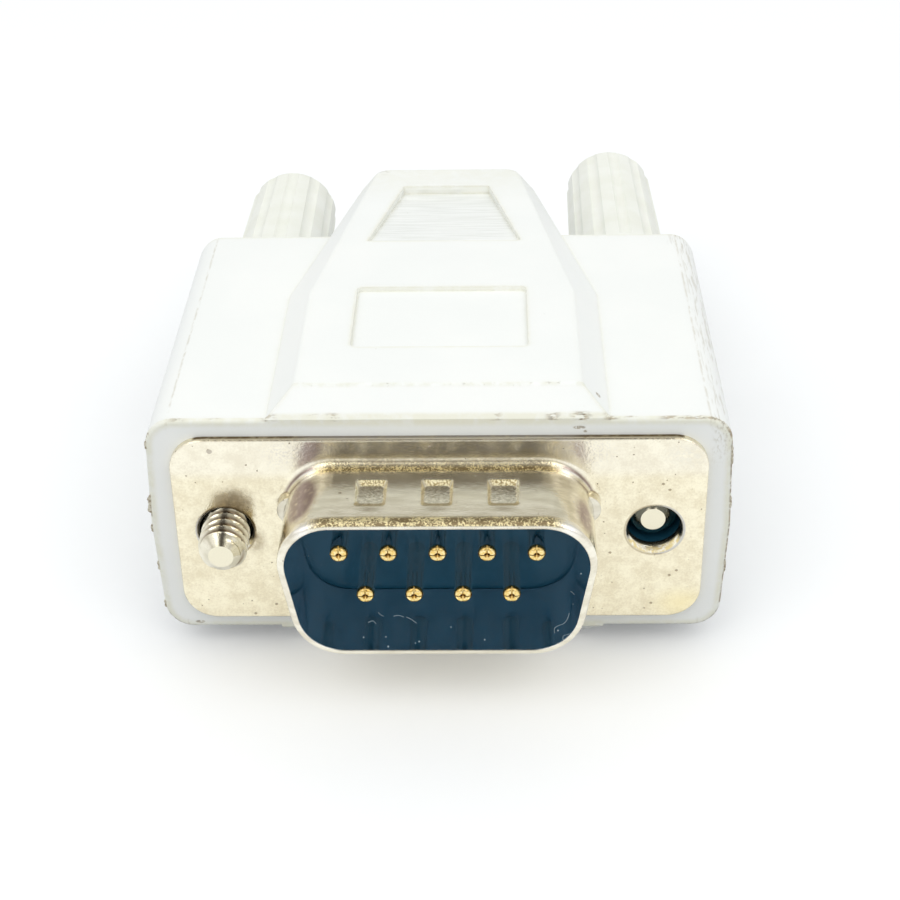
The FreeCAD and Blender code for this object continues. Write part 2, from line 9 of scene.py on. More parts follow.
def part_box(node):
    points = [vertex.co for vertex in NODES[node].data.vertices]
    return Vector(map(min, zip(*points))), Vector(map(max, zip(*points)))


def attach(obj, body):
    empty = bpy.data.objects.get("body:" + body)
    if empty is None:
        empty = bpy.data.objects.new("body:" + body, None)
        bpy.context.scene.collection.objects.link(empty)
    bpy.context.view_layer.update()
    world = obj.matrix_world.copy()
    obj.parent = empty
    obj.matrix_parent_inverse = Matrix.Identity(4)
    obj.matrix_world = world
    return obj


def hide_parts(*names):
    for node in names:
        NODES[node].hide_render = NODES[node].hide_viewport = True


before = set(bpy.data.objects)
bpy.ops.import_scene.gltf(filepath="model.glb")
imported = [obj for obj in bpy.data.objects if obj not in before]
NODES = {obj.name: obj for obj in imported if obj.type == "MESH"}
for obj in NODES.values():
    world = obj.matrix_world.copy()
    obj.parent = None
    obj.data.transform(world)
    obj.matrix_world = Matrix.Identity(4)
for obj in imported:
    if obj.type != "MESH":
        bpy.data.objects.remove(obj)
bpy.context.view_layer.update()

# Lengths below are in millimetres; the scene is in metres.
MM = 0.001

# Sizes of the part that aren't read from its boxes. The flange's front stands ahead of the hood, and the
# humps rise from the ears' tops, which are given by their height over the middle. The ears narrow by the
# draft for each millimetre above or below the middle. The crease, the screws and the outer dimples are given
# by how far they stand to either side of it
FLANGE_AHEAD = 0.45
HUMP_RISE = 1.5
EAR_TOP = 7.35
HOOD_CORNER = 1.7
HOOD_DRAFT = 0.0384
CREASE_X = 15.4
SCREW_X = 12.495
DIMPLE_PITCH = 3.7

# Where things lie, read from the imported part
HOOD_LOW, HOOD_HIGH = (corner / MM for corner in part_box("hood"))
SHELL_LOW, SHELL_HIGH = (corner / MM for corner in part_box("front_shell"))
PIN_LOW, PIN_HIGH = (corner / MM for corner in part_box("pin_3"))
HOOD_FRONT = HOOD_LOW.y
HOOD_TOP = HOOD_HIGH.z
MIDDLE_Z = HOOD_TOP / 2
HUMP_FOOT = HOOD_TOP - HUMP_RISE
FLANGE_FRONT = HOOD_FRONT - FLANGE_AHEAD
FLANGE_TOP = SHELL_HIGH.z - MIDDLE_Z
PIN_WIDTH = PIN_HIGH.x - PIN_LOW.x

# Brown marks on the hood's front top edge: place across, half width and strength
EDGE_MARKS = [
    (-14.8, 0.7, 0.5), (-12.6, 0.6, 0.4), (-9.6, 0.7, 0.6), (-7.0, 0.5, 0.4), (-5.9, 0.6, 0.6),
    (3.3, 0.5, 0.5), (6.5, 0.6, 0.7), (8.1, 0.8, 1.0), (9.8, 0.6, 0.8), (10.9, 0.5, 0.6),
]

# Brown spots on the hood: the centre and how far the spot reaches along each axis
HOOD_SPOTS = [
    ((8.0, HOOD_FRONT, MIDDLE_Z + 6.75), (0.5, 0.4, 0.16)),
    ((8.35, HOOD_FRONT, MIDDLE_Z + 6.5), (0.16, 0.4, 0.12)),
    ((9.1, HOOD_FRONT + 1.55, MIDDLE_Z + EAR_TOP + 0.8), (0.22, 0.3, 1.2)),
    ((-14.7, HOOD_FRONT, MIDDLE_Z - 6.95), (0.4, 0.5, 0.16)),
    ((-15.1, HOOD_FRONT + 0.3, MIDDLE_Z + 7.1), (0.3, 0.3, 0.25)),
]

# Dark pits on the flange: across, and up from the middle
FLANGE_PITS = [
    (12.85, 3.2), (13.25, 2.8), (9.95, -1.6), (13.9, -2.9), (13.5, -3.25), (12.5, -5.3),
    (-9.9, -5.3), (-11.2, -6.0),
]

# Ragged bits on the hood's front outline: heights where they start and end on a side, and how far they stand
# out at most. Each is a strip with its root in the hood, from a front to a back behind the flange's front
LEFT_BITS = [(1.0, 2.2, 0.16), (-0.35, 0.15, 0.06), (-3.1, -2.5, 0.07), (-5.9, -5.4, 0.06), (5.4, 5.9, 0.05)]
RIGHT_BITS = [(4.2, 5.4, 0.05), (1.2, 1.9, 0.05), (-3.4, -2.6, 0.05)]
BIT_SEED = 5
BIT_STEP = 0.09
BIT_LEAST_STEPS = 4
BIT_LEAST_SHARE = 0.25
BIT_ROOT = 0.12
BIT_FRONT = 0.52
BIT_BACK = 0.62
BIT_BACK_SPREAD = 0.12

# Fibres and dust in the shroud: across, behind the flange's front and up from the middle. The first few
# fibres are thicker than the others
FIBRES = [
    [
        (7.36, -5.5, -1.83), (7.31, -5.48, -2.1), (7.20, -5.39, -2.48), (7.03, -5.19, -2.84),
        (6.86, -4.95, -3.1), (6.62, -4.81, -3.38), (6.56, -4.97, -3.44), (6.58, -5.29, -3.41),
    ],
    [(7.47, -4.3, -1.2), (7.56, -4.9, -0.85), (7.62, -5.4, -0.6)],
    [(-3.63, -2.32, -4.17), (-3.49, -2.54, -4.17), (-3.3, -2.68, -4.17)],
    [(-2.72, -2.68, -4.17), (-2.41, -2.61, -4.17), (-2.13, -2.76, -4.17)],
    [(-1.96, -2.77, -4.17), (-1.68, -2.98, -4.17), (-1.36, -3.34, -4.17)],
    [(-4.16, -3.26, -4.17), (-3.9, -3.12, -4.17), (-3.71, -3.41, -4.17)],
]
THICK_FIBRES = 2
FIBRE_RADIUS = 0.016
THIN_SHARE = 0.7
FIBRE_STEPS = 5
FIBRE_SIDES = 6
DUST = [
    (7.55, -5.7, -1.04), (7.95, -5.75, 1.1), (6.76, -5.25, -3.25), (-3.07, -4.62, -4.17),
    (-1.15, -5.05, -4.17), (-1.36, -5.19, -4.17), (-4.35, -4.65, -4.17), (-2.9, -5.5, -4.17),
    (0.65, -3.72, -4.17), (2.6, -4.9, -4.17), (-7.8, 0.19, -1.91),
]
DUST_RADIUS = 0.045
DUST_SHARES = (0.6, 0.85, 1.1, 0.725, 0.975)
DUST_OUTLINE = ((-1, 0.3), (-0.5, 0.85), (0, 1), (0.5, 0.8), (1, 0.25))
DUST_SIDES = 8

# The camera, fitted to the photograph
CAMERA_PLACE = (3.109, -107.309, 68.765)
CAMERA_ELEVATION = 32.3547
CAMERA_YAW = -1.61404
CAMERA_ROLL = -1.15114
SENSOR = 36.0
LENS = 71.724
CLIP_START = 5
CLIP_END = 20000

# The studio: light from all around that grows with height, two soft lamps in front, and what mirrors show of
# the room: white at the horizon and beside the lamps, grey above, and a dark gap between them
FILL_COLOUR = (0.95, 0.98, 1.0)
FILL_LOW = 0.62
FILL_HIGH = 1.03
HORIZON_COLOUR = (1.0, 1.0, 1.0)
ROOM_COLOUR = (0.60, 0.58, 0.52)
ROOM_FOOT = 0.12
GAP_EDGE = 0.10
GAP_FADE = 0.12
GAP_FOOT = 0.30
GAP_BACK = 0.5
GAP_COLOUR = (0.10, 0.09, 0.08)
SIDE_EDGE = 0.38
SIDE_FOOT = 0.26
SIDE_FADE = 0.12
SIDE_BACK = 0.5
SIDE_COLOUR = (1.0, 0.99, 0.96)
LAMP_COLOUR = (1.0, 0.985, 0.95)
LAMP_PLACE = (199, -237, 335)
LAMP_TARGET = (0, 0, 8)
LAMP_SIZE = (290, 290)
LAMP_POWER = 0.36
FLOOR_SHOWN = (0.985, 0.985, 0.985)
FLOOR_GIVEN = (0.45, 0.46, 0.48)
FLOOR_GLOW = (1.0, 1.0, 0.99)
FLOOR_GLOW_SHARE = 0.12
FLOOR_HALF = 3000

# The thumbscrews: a chamfered tip and a thread, whose crest and root are flat for these shares of the pitch
# and whose depth is 5/8 of its full triangle's height. Then as depths behind the tip and radii a groove for
# the retainer, a shank and an anchor in the knob
THREAD_PITCH = 0.635
THREAD_DIAMETER = 2.845
THREAD_LENGTH = 9.35
THREAD_CREST = 0.125
THREAD_ROOT = 0.25
THREAD_DEPTH = 5 / 8 * math.sqrt(3) / 2 * THREAD_PITCH
TIP_DIAMETER = 1.45
TIP_CHAMFER = 0.5
SCREW_REST = [
    (9.35, 1.1), (9.65, 1.1), (9.65, 0.9), (10.25, 0.9), (10.25, 1.1), (29.7, 1.1), (30.7, 1.6), (41.7, 1.6),
]
THREAD_ROWS = 12
SCREW_COLUMNS = 64
SHARP_ANGLE = 35.0
WELD_DISTANCE = 0.0005


class Nodes:
    """Short makers for the nodes of one tree."""

    def __init__(self, tree):
        self.tree = tree

    def feed(self, socket, value):
        """Gives a socket the output of a node, a colour or a plain value."""
        if isinstance(value, bpy.types.NodeSocket):
            self.tree.links.new(value, socket)
        elif hasattr(value, "__len__") and socket.type == "RGBA" and len(value) == 3:
            socket.default_value = (*value, 1)
        else:
            socket.default_value = value

    def node(self, kind, inputs=(), **settings):
        """A node with its settings and what its inputs are fed."""
        made = self.tree.nodes.new(kind)
        for name, value in settings.items():
            setattr(made, name, value)
        for name, value in dict(inputs).items():
            self.feed(made.inputs[name], value)
        return made

    def math(self, operation, *values):
        """A sum, product or other result of one or two numbers."""
        return self.node("ShaderNodeMath", enumerate(values), operation=operation).outputs[0]

    def vector_math(self, operation, *values, out="Vector"):
        """A result of one or two vectors."""
        return self.node("ShaderNodeVectorMath", enumerate(values), operation=operation).outputs[out]

    def chain(self, operation, values):
        """The result of an operation on the first value and each of the others in turn."""
        total = values[0]
        for value in values[1:]:
            total = self.math(operation, total, value)
        return total

    def add(self, *values):
        """The sum of numbers."""
        return self.chain("ADD", values)

    def times(self, *values):
        """The product of numbers."""
        return self.chain("MULTIPLY", values)

    def most(self, *values):
        """The largest of numbers."""
        return self.chain("MAXIMUM", values)

    def ramp(self, value, low, high, out_low=0.0, out_high=1.0):
        """A smooth step of value from low to high."""
        inputs = {"Value": value, "From Min": low, "From Max": high, "To Min": out_low, "To Max": out_high}
        return self.node("ShaderNodeMapRange", inputs, interpolation_type="SMOOTHSTEP").outputs["Result"]

    def mix(self, factor, first, second):
        """A mix of two colours: the first where the factor is 0, the second where it is 1."""
        inputs = {"Factor": factor, 6: first, 7: second}
        return self.node("ShaderNodeMix", inputs, data_type="RGBA").outputs[2]

    def parts(self, vector):
        """X, Y and Z of a vector."""
        return self.node("ShaderNodeSeparateXYZ", {"Vector": vector}).outputs

    def seen_directly(self):
        """1 for what the camera sees itself, in a mirror or through glass, 0 for the light that is given."""
        path = self.node("ShaderNodeLightPath").outputs
        return self.most(path["Is Camera Ray"], path["Is Glossy Ray"], path["Is Transmission Ray"])


class Surface(Nodes):
    """A node material under construction: one principled shader and patterns for what feeds it."""

    def __init__(self, name, **sockets):
        self.material = bpy.data.materials.new(name)
        self.material.use_nodes = True
        super().__init__(self.material.node_tree)
        self.shader = self.tree.nodes["Principled BSDF"]
        self.place = self.tree.nodes.new("ShaderNodeTexCoord").outputs["Object"]
        self.set(**sockets)

    def set(self, **sockets):
        """Feeds sockets of the shader, with an underscore for each space in their names."""
        for name, value in sockets.items():
            self.feed(self.shader.inputs[name.replace("_", " ")], value)

    def noise(self, size, detail=2.0, roughness=0.5, stretch=(1, 1, 1), shift=0.0):
        """Noise whose grains are about size millimetres across."""
        scale = [s / (size * MM) for s in stretch]
        place = self.vector_math("MULTIPLY", self.place, scale)
        inputs = {
            "Vector": self.vector_math("ADD", place, (shift, shift, shift)),
            "Scale": 1.0,
            "Detail": detail,
            "Roughness": roughness,
        }
        return self.node("ShaderNodeTexNoise", inputs).outputs["Fac"]

    def specks(self, spacing, radius, share, shift=0.0):
        """Small ragged dots about spacing apart, of which only a share is there."""
        inputs = {"Vector": self.place, "Scale": 1 / (radius * MM), "Detail": 2.0}
        ragged = self.node("ShaderNodeTexNoise", inputs).outputs["Color"]
        offset = self.vector_math("SUBTRACT", ragged, (0.5, 0.5, 0.5))
        offset = self.vector_math("MULTIPLY", offset, (1.6 * radius * MM,) * 3)
        place = self.vector_math("ADD", self.place, offset)
        place = self.vector_math("ADD", place, (shift * MM,) * 3)
        cells = self.node("ShaderNodeTexVoronoi", {"Vector": place, "Scale": 1 / (spacing * MM)})
        near = self.ramp(cells.outputs["Distance"], radius / spacing, 0.6 * radius / spacing)
        picked = self.node("ShaderNodeSeparateColor", {"Color": cells.outputs["Color"]}).outputs["Red"]
        return self.times(near, self.math("LESS_THAN", picked, share))

    def axes(self):
        """X, Y and Z of the point, in millimetres."""
        parts = self.parts(self.vector_math("MULTIPLY", self.place, (1 / MM,) * 3))
        return parts["X"], parts["Y"], parts["Z"]

    def within(self):
        """X, Y and Z of the point as shares of the piece's box."""
        return self.parts(self.node("ShaderNodeTexCoord").outputs["Generated"])

    def blob(self, centre, radii):
        """1 at a centre in millimetres, fading to 0 at the given distance along each axis."""
        inverse = [1 / (r * MM) for r in radii]
        offset = self.vector_math("SUBTRACT", self.place, [c * MM for c in centre])
        scaled = self.vector_math("MULTIPLY", offset, inverse)
        return self.ramp(self.vector_math("LENGTH", scaled, out="Value"), 1.0, 0.0)

    def facing(self, axis, low, high):
        """A smooth step of how far the surface faces along an axis."""
        normal = self.node("ShaderNodeTexCoord").outputs["Normal"]
        return self.ramp(self.vector_math("DOT_PRODUCT", normal, axis, out="Value"), low, high)

    def facing_bore(self, middle):
        """1 where the surface faces the line along Y through the middle, 0 where it doesn't."""
        normal = self.vector_math("MULTIPLY", self.node("ShaderNodeTexCoord").outputs["Normal"], (1, 0, 1))
        away = self.vector_math("SUBTRACT", self.place, [c * MM for c in middle])
        return self.ramp(self.vector_math("DOT_PRODUCT", normal, away, out="Value"), -0.5 * MM, -1.5 * MM)

    def band(self, value, centre, half):
        """1 where a length is near centre, fading to 0 at half on either side."""
        away = self.math("ABSOLUTE", self.math("SUBTRACT", value, centre))
        return self.ramp(away, half, 0.0)

    def length(self, *values):
        """The length of a vector from its parts."""
        joined = self.node("ShaderNodeCombineXYZ", zip("XYZ", values)).outputs[0]
        return self.vector_math("LENGTH", joined, out="Value")

    def soft_normal(self, radius):
        """The normal as if edges were rounded within radius millimetres."""
        return self.node("ShaderNodeBevel", {"Radius": radius * MM}, samples=4).outputs["Normal"]

    def edge(self, radius):
        """1 on edges that turn within radius millimetres, where a rounded normal leans from the true one."""
        true = self.node("ShaderNodeNewGeometry").outputs["Normal"]
        agree = self.vector_math("DOT_PRODUCT", self.soft_normal(radius), true, out="Value")
        return self.ramp(agree, 0.995, 0.85)

    def bump(self, *layers, normal=None):
        """Feeds the normal from pairs of height (0 to 1) and depth in millimetres."""
        for height, depth in layers:
            inputs = {"Height": height, "Distance": depth * MM, "Strength": 1.0}
            if normal is not None:
                inputs["Normal"] = normal
            normal = self.node("ShaderNodeBump", inputs).outputs["Normal"]
        self.set(Normal=normal)


class HoodSurface(Surface):
    """The hood's plastic, with the places and noises that its marks share."""

    def __init__(self):
        super().__init__("hood_plastic")
        self.x, self.y, self.z = self.axes()
        self.side = self.math("ABSOLUTE", self.x)
        self.height = self.math("ABSOLUTE", self.add(self.z, -MIDDLE_Z))
        self.right = self.ramp(self.x, -2.0, 4.0)
        self.cloud = self.noise(6.0, 3.0)
        self.patches = self.noise(0.9, 4.0, 0.65)
        self.fine = self.noise(0.22, 3.0, 0.6)
        self.threads = self.noise(0.3, 3.0, 0.6, stretch=(1, 0.3, 1))
        self.lines = self.noise(0.2, 3.0, 0.6, stretch=(0.3, 1, 1))
        self.streaks = self.noise(0.14, 2.0, 0.6, stretch=(1, 0.08, 0.5))
        tapered_side = self.add(self.side, self.times(self.height, HOOD_DRAFT), HOOD_CORNER - HOOD_HIGH.x)
        self.past_side = self.math("MAXIMUM", tapered_side, 0.0)
        past_top = self.math("MAXIMUM", self.add(self.height, HOOD_CORNER - EAR_TOP), 0.0)
        self.outward = self.length(self.past_side, past_top)
        self.near_front = self.ramp(self.y, HOOD_FRONT + 0.34, HOOD_FRONT + 0.16)

    def clean(self):
        """White plastic, with painted shade that makes the front face a little greyer."""
        clean = self.mix(self.ramp(self.cloud, 0.35, 0.7), (0.90, 0.907, 0.88), (0.918, 0.92, 0.89))
        # Painted shade: the front face, except its outer sides, is drawn greyer than the rest.
        painted_face_shade = self.ramp(self.y, HOOD_FRONT + 0.10, HOOD_FRONT + 0.02)
        painted_face_shade = self.times(painted_face_shade, self.ramp(self.fine, 0.3, 0.6, 0.75, 1.0))
        painted_face_shade = self.times(painted_face_shade, self.ramp(self.side, 15.4, 14.2))
        return self.mix(self.times(painted_face_shade, 0.4), clean, (0.83, 0.85, 0.82))

    def yellowed(self, colour):
        """Edges, the hump's tail and the front rim, where the plastic has yellowed."""
        upper = self.ramp(self.z, HUMP_FOOT - 0.2, HUMP_FOOT + 0.3)
        by_tail = self.times(upper, self.ramp(self.y, 4.0, 11.0))
        rim_edge = self.times(self.near_front, self.ramp(self.outward, HOOD_CORNER - 0.6, HOOD_CORNER - 0.2))
        edges = self.times(self.edge(0.35), 0.8)
        soft_edges = self.times(self.edge(0.9), 0.3)
        tired = self.most(edges, soft_edges, self.times(by_tail, 0.35), self.times(rim_edge, 0.75))
        tired = self.times(tired, self.ramp(self.patches, 0.3, 0.6, 0.45, 1.0))
        return self.mix(tired, colour, (0.79, 0.77, 0.62))

    def creased(self, colour):
        """The dirty crease along each ear's top, near its outer side."""
        crease = self.times(self.band(self.side, CREASE_X, 0.12), self.ramp(self.height, 6.6, 7.1))
        crease = self.times(crease, self.ramp(self.threads, 0.38, 0.62), 0.5)
        return self.mix(crease, colour, (0.56, 0.51, 0.40))

    def grooves(self):
        """Fine lines across the floor of the finger grip."""
        in_grip = self.times(
            self.ramp(self.side, 4.9, 4.6),
            self.ramp(self.z, HOOD_TOP - 0.2, HOOD_TOP - 0.3),
            self.ramp(self.z, HOOD_TOP - 0.75, HOOD_TOP - 0.65),
        )
        in_grip = self.times(in_grip, self.ramp(self.y, HOOD_FRONT + 19.0, HOOD_FRONT + 20.0))
        lines = self.noise(0.16, 1.0, 0.5, stretch=(0.03, 1, 0.03))
        return self.times(self.band(lines, 0.5, 0.12), in_grip)

    def outline_grime(self):
        """Brown dirt along the front face's outline: marks on top, and more on the right than on the left."""
        outline = self.times(self.near_front, self.ramp(self.outward, HOOD_CORNER - 0.15, HOOD_CORNER - 0.06))
        on_top = self.ramp(self.z, MIDDLE_Z + 6.3, MIDDLE_Z + 6.8)
        beside = self.times(self.ramp(self.threads, 0.36, 0.5), self.math("SUBTRACT", 1.0, on_top))
        ragged = self.add(beside, self.times(self.ramp(self.lines, 0.45, 0.56), on_top))
        on_side = self.ramp(self.outward, HOOD_CORNER - 0.3, HOOD_CORNER - 0.2)
        at_side = self.times(on_side, self.ramp(self.past_side, 0.9, 1.3))
        right_side = self.times(at_side, self.right, self.ramp(self.patches, 0.36, 0.46))
        left = self.math("SUBTRACT", 1.0, self.right)
        left_side = self.times(at_side, left, self.ramp(self.patches, 0.54, 0.60))
        below = self.times(
            self.ramp(self.z, MIDDLE_Z - 6.2, MIDDLE_Z - 6.8),
            self.ramp(self.side, 12.5, 14.0),
            self.ramp(self.patches, 0.45, 0.55),
        )
        top_edge = self.ramp(self.x, 12.2, 13.0, 0.0, 0.7)
        for place, half, strength in EDGE_MARKS:
            top_edge = self.most(top_edge, self.times(self.band(self.x, place, half), strength))
        top_edge = self.times(top_edge, on_top)
        return self.times(outline, ragged, self.most(top_edge, right_side, self.times(left_side, 0.8), below))

    def hump_stain(self):
        """The yellow stain along the hump's front edge."""
        hump_front = self.band(self.y, HOOD_FRONT + 1.45, 0.22)
        hump_front = self.times(hump_front, self.ramp(self.z, HOOD_TOP - 0.3, HOOD_TOP - 0.1))
        return self.times(hump_front, self.ramp(self.patches, 0.35, 0.65))

    def scuffed(self, colour):
        """Streaks along the upper right edge."""
        scuffs = self.times(self.ramp(self.side, 15.3, 15.9), self.right)
        scuffs = self.times(scuffs, self.ramp(self.z, MIDDLE_Z + 3.5, MIDDLE_Z + 6.0))
        scuffs = self.times(scuffs, self.ramp(self.streaks, 0.48, 0.66), 0.45)
        return self.mix(scuffs, colour, (0.50, 0.46, 0.36))

    def spots(self):
        """Brown spots near the front, at the hump's tail and on the right back corner, and small specks."""
        spots = self.blob(*HOOD_SPOTS[0])
        for centre, radii in HOOD_SPOTS[1:]:
            spots = self.most(spots, self.blob(centre, radii))
        spots = self.times(self.ramp(spots, 0.0, 0.5), self.ramp(self.fine, 0.35, 0.5))
        tail_left = self.blob((-4.4, 10.4, 17.0), (0.8, 1.5, 1.2))
        tail_right = self.blob((4.6, 10.8, 17.2), (0.9, 1.2, 1.2))
        tail = self.times(self.most(tail_left, tail_right), self.ramp(self.fine, 0.45, 0.6), 0.7)
        back_corner = self.blob((15.4, 2.0, MIDDLE_Z + 6.8), (1.0, 2.2, 1.0))
        back_corner = self.times(back_corner, self.ramp(self.streaks, 0.48, 0.6), 0.6)
        dots = self.most(self.specks(2.6, 0.06, 0.3), self.specks(1.1, 0.04, 0.10, 3.7))
        return self.most(self.times(spots, 0.7), tail, back_corner, self.times(dots, 0.5))


def hood_plastic():
    """White moulded plastic, yellowed on its edges, with brown grime where hands and plugs rub it."""
    s = HoodSurface()
    grooves = s.grooves()
    colour = s.creased(s.yellowed(s.clean()))
    colour = s.mix(s.times(grooves, 0.25), colour, (0.55, 0.56, 0.50))
    stain = s.hump_stain()
    colour = s.mix(s.times(stain, 0.35), colour, (0.66, 0.63, 0.42))
    colour = s.scuffed(colour)
    stain_specks = s.times(stain, s.ramp(s.fine, 0.60, 0.68), 0.45)
    grime = s.most(s.outline_grime(), stain_specks, s.spots())
    brown = s.mix(s.ramp(s.fine, 0.35, 0.65), (0.46, 0.37, 0.24), (0.20, 0.155, 0.10))
    s.set(Base_Color=s.mix(grime, colour, brown))
    s.set(Roughness=s.ramp(s.cloud, 0.2, 0.8, 0.36, 0.48))
    s.bump((s.noise(0.16, 2.0), 0.004), (s.patches, 0.02), (grooves, 0.01), (s.times(grime, -1), 0.02))
    return s.material


def flash_plastic():
    """The frayed bits on the hood's outline, brown with dirt."""
    s = Surface("flash_plastic", Roughness=0.6)
    fine = s.noise(0.15, 3.0, 0.6)
    s.set(Base_Color=s.mix(s.ramp(fine, 0.35, 0.6), (0.30, 0.24, 0.16), (0.66, 0.62, 0.50)))
    s.bump((fine, 0.01))
    return s.material


def lint():
    """Bluish grey fibres and dust."""
    s = Surface("lint", Roughness=0.8)
    fine = s.noise(0.2, 2.0)
    s.set(Base_Color=s.mix(fine, (0.24, 0.33, 0.38), (0.45, 0.54, 0.58)))
    return s.material


def knob_plastic():
    """The knobs' plastic, a shade greyer and more yellow than the hood, with dark specks of dust."""
    s = Surface("knob_plastic")
    cloud = s.noise(2.4, 3.0)
    fine = s.noise(0.2, 3.0, 0.6)
    clean = s.mix(s.ramp(cloud, 0.3, 0.7), (0.86, 0.86, 0.77), (0.90, 0.90, 0.83))
    dots = s.specks(1.6, 0.06, 0.3)
    s.set(Base_Color=s.mix(s.times(dots, 0.6), clean, (0.3, 0.24, 0.16)))
    s.set(Roughness=s.ramp(fine, 0.2, 0.8, 0.4, 0.55))
    s.bump((fine, 0.005), (cloud, 0.02))
    return s.material


class PlateSurface(Surface):
    """The shell's nickel plate, with the places and noises that its marks share."""

    def __init__(self):
        super().__init__("nickel", Metallic=1.0)
        self.x, self.y, self.z = self.axes()
        self.side = self.math("ABSOLUTE", self.x)
        self.up = self.add(self.z, -MIDDLE_Z)
        self.out = self.add(self.y, -FLANGE_FRONT)
        self.rim_place = self.add(self.y, -SHELL_LOW.y)
        self.cloud = self.noise(3.0, 4.0, 0.6)
        self.fine = self.noise(0.14, 3.0, 0.6)
        self.grain = self.noise(0.35, 3.0, 0.7)
        self.mottle = self.noise(1.1, 4.0, 0.7, shift=11.0)
        self.flecks = self.noise(0.11, 2.0, 0.6, shift=5.0)
        self.blotches = self.noise(0.7, 3.0, 0.6, shift=3.0)
        self.drawn = self.noise(0.5, 3.0, 0.6, stretch=(0.25, 1, 1))
        self.inside = self.facing_bore((0, 0, MIDDLE_Z))
        self.outer = self.math("SUBTRACT", 1.0, self.inside)
        self.on_flange = self.ramp(self.out, -0.3, -0.1)
        self.on_top = self.ramp(self.up, 3.4, 4.3)
        self.straight = self.ramp(self.side, 7.4, 6.2)
        self.hole = self.length(self.add(self.side, -SCREW_X), self.up)

    def flange(self):
        """Mottled yellowish plate, with a warm and a greyed corner, a browned top edge and a painted shadow
        line behind it, where it meets the hood.
        """
        grainy = self.add(self.times(self.mottle, 0.5), self.times(self.fine, 0.3))
        grainy = self.add(grainy, self.times(self.grain, 0.2))
        flange = self.mix(self.ramp(grainy, 0.38, 0.62), (0.79, 0.71, 0.52), (0.955, 0.89, 0.69))
        warm = self.blob((14.3, FLANGE_FRONT, MIDDLE_Z - 5.3), (2.4, 1.0, 1.6))
        flange = self.mix(self.times(warm, 0.5), flange, (0.93, 0.80, 0.42))
        greyed = self.blob((14.2, FLANGE_FRONT, MIDDLE_Z + 5.2), (2.2, 1.0, 1.3))
        greyed = self.times(greyed, self.ramp(self.grain, 0.35, 0.6))
        flange = self.mix(self.times(greyed, 0.5), flange, (0.70, 0.66, 0.55))
        top_edge = self.ramp(self.up, FLANGE_TOP - 0.1, FLANGE_TOP - 0.04)
        top_face = self.times(self.facing((0, 0, 1), 0.6, 0.8), top_edge)
        flange = self.mix(self.times(top_face, 0.6), flange, (0.60, 0.50, 0.32))
        # Painted shadow in the gap between the flange's top edge and the hood.
        gap_shadow_line = self.times(top_face, self.ramp(self.out, 0.16, 0.24))
        gap_shadow_line = self.times(gap_shadow_line, self.ramp(self.grain, 0.35, 0.5, 0.6, 1.0))
        return self.mix(gap_shadow_line, flange, (0.16, 0.11, 0.05))

    def wall(self):
        """The D wall, streaked along X and darker towards the flange."""
        wall = self.mix(self.ramp(self.drawn, 0.3, 0.7), (0.76, 0.71, 0.58), (0.93, 0.89, 0.77))
        return self.mix(self.times(self.ramp(self.out, -3.2, -1.2), 0.35), wall, (0.55, 0.51, 0.41))

    def painted_reflection_and_freckles(self, colour):
        """A painted dark reflection on the stretch of flange above the D wall, its speckled ends and the
        freckles beside it.
        """
        # Painted dark reflection on the flange above the shroud.
        over = self.times(self.band(self.up, 5.7, 1.2), self.ramp(self.side, 8.8, 6.8), self.on_flange)
        over = self.times(over, 0.8, self.ramp(self.grain, 0.3, 0.6, 0.5, 1.0))
        colour = self.mix(over, colour, (0.60, 0.58, 0.56))
        fringe = self.times(self.band(self.up, 5.4, 1.6), self.band(self.side, 8.6, 2.4), self.on_flange)
        fringe = self.times(fringe, self.ramp(self.fine, 0.46, 0.60), 0.42)
        colour = self.mix(fringe, colour, (0.40, 0.34, 0.31))
        near_shroud = self.times(self.ramp(self.side, 12.5, 9.0), self.on_flange)
        freckles = self.times(self.specks(0.36, 0.045, 0.45, 7.1), near_shroud)
        return self.mix(self.times(freckles, 0.45), colour, (0.42, 0.35, 0.26))

    def stain(self):
        """The dark brown patch round the left screw."""
        above = self.blob((-11.9, FLANGE_FRONT, MIDDLE_Z + 2.1), (1.9, 1.0, 1.5))
        right = self.blob((-10.9, FLANGE_FRONT, MIDDLE_Z - 0.6), (1.2, 1.0, 1.6))
        left = self.blob((-13.9, FLANGE_FRONT, MIDDLE_Z + 0.6), (0.9, 1.0, 1.6))
        stain = self.most(above, self.times(right, 0.7), self.times(left, 0.5))
        uneven = self.ramp(self.noise(0.6, 4.0, 0.7), 0.3, 0.6, 0.35, 1.0)
        return self.times(self.ramp(stain, 0.0, 0.8), uneven)

    def craters(self):
        """The single dark pits on the flange."""
        craters = self.blob((-13.0, FLANGE_FRONT, MIDDLE_Z + 5.55), (0.26, 0.5, 0.22))
        for place, height in FLANGE_PITS:
            crater = self.blob((place, FLANGE_FRONT, MIDDLE_Z + height), (0.14, 0.5, 0.11))
            craters = self.most(craters, crater)
        return craters

    def plum_patched(self, colour):
        """Plum patches on the D wall's upper corners and a dark nick in its root."""
        left = self.blob((-7.9, FLANGE_FRONT - 2.7, MIDDLE_Z + 4.2), (1.8, 3.2, 1.8))
        right = self.blob((8.4, FLANGE_FRONT - 3.6, MIDDLE_Z + 3.6), (1.3, 3.0, 1.6))
        plum = self.most(left, self.times(right, 0.6))
        plum = self.times(self.ramp(plum, 0.08, 0.5), self.ramp(self.grain, 0.3, 0.5, 0.6, 1.0), 0.85)
        colour = self.mix(plum, colour, (0.24, 0.16, 0.18))
        nick = self.blob((-1.1, FLANGE_FRONT - 0.5, MIDDLE_Z + 4.9), (0.32, 0.3, 0.4))
        return self.mix(self.ramp(nick, 0.1, 0.4), colour, (0.10, 0.07, 0.07))

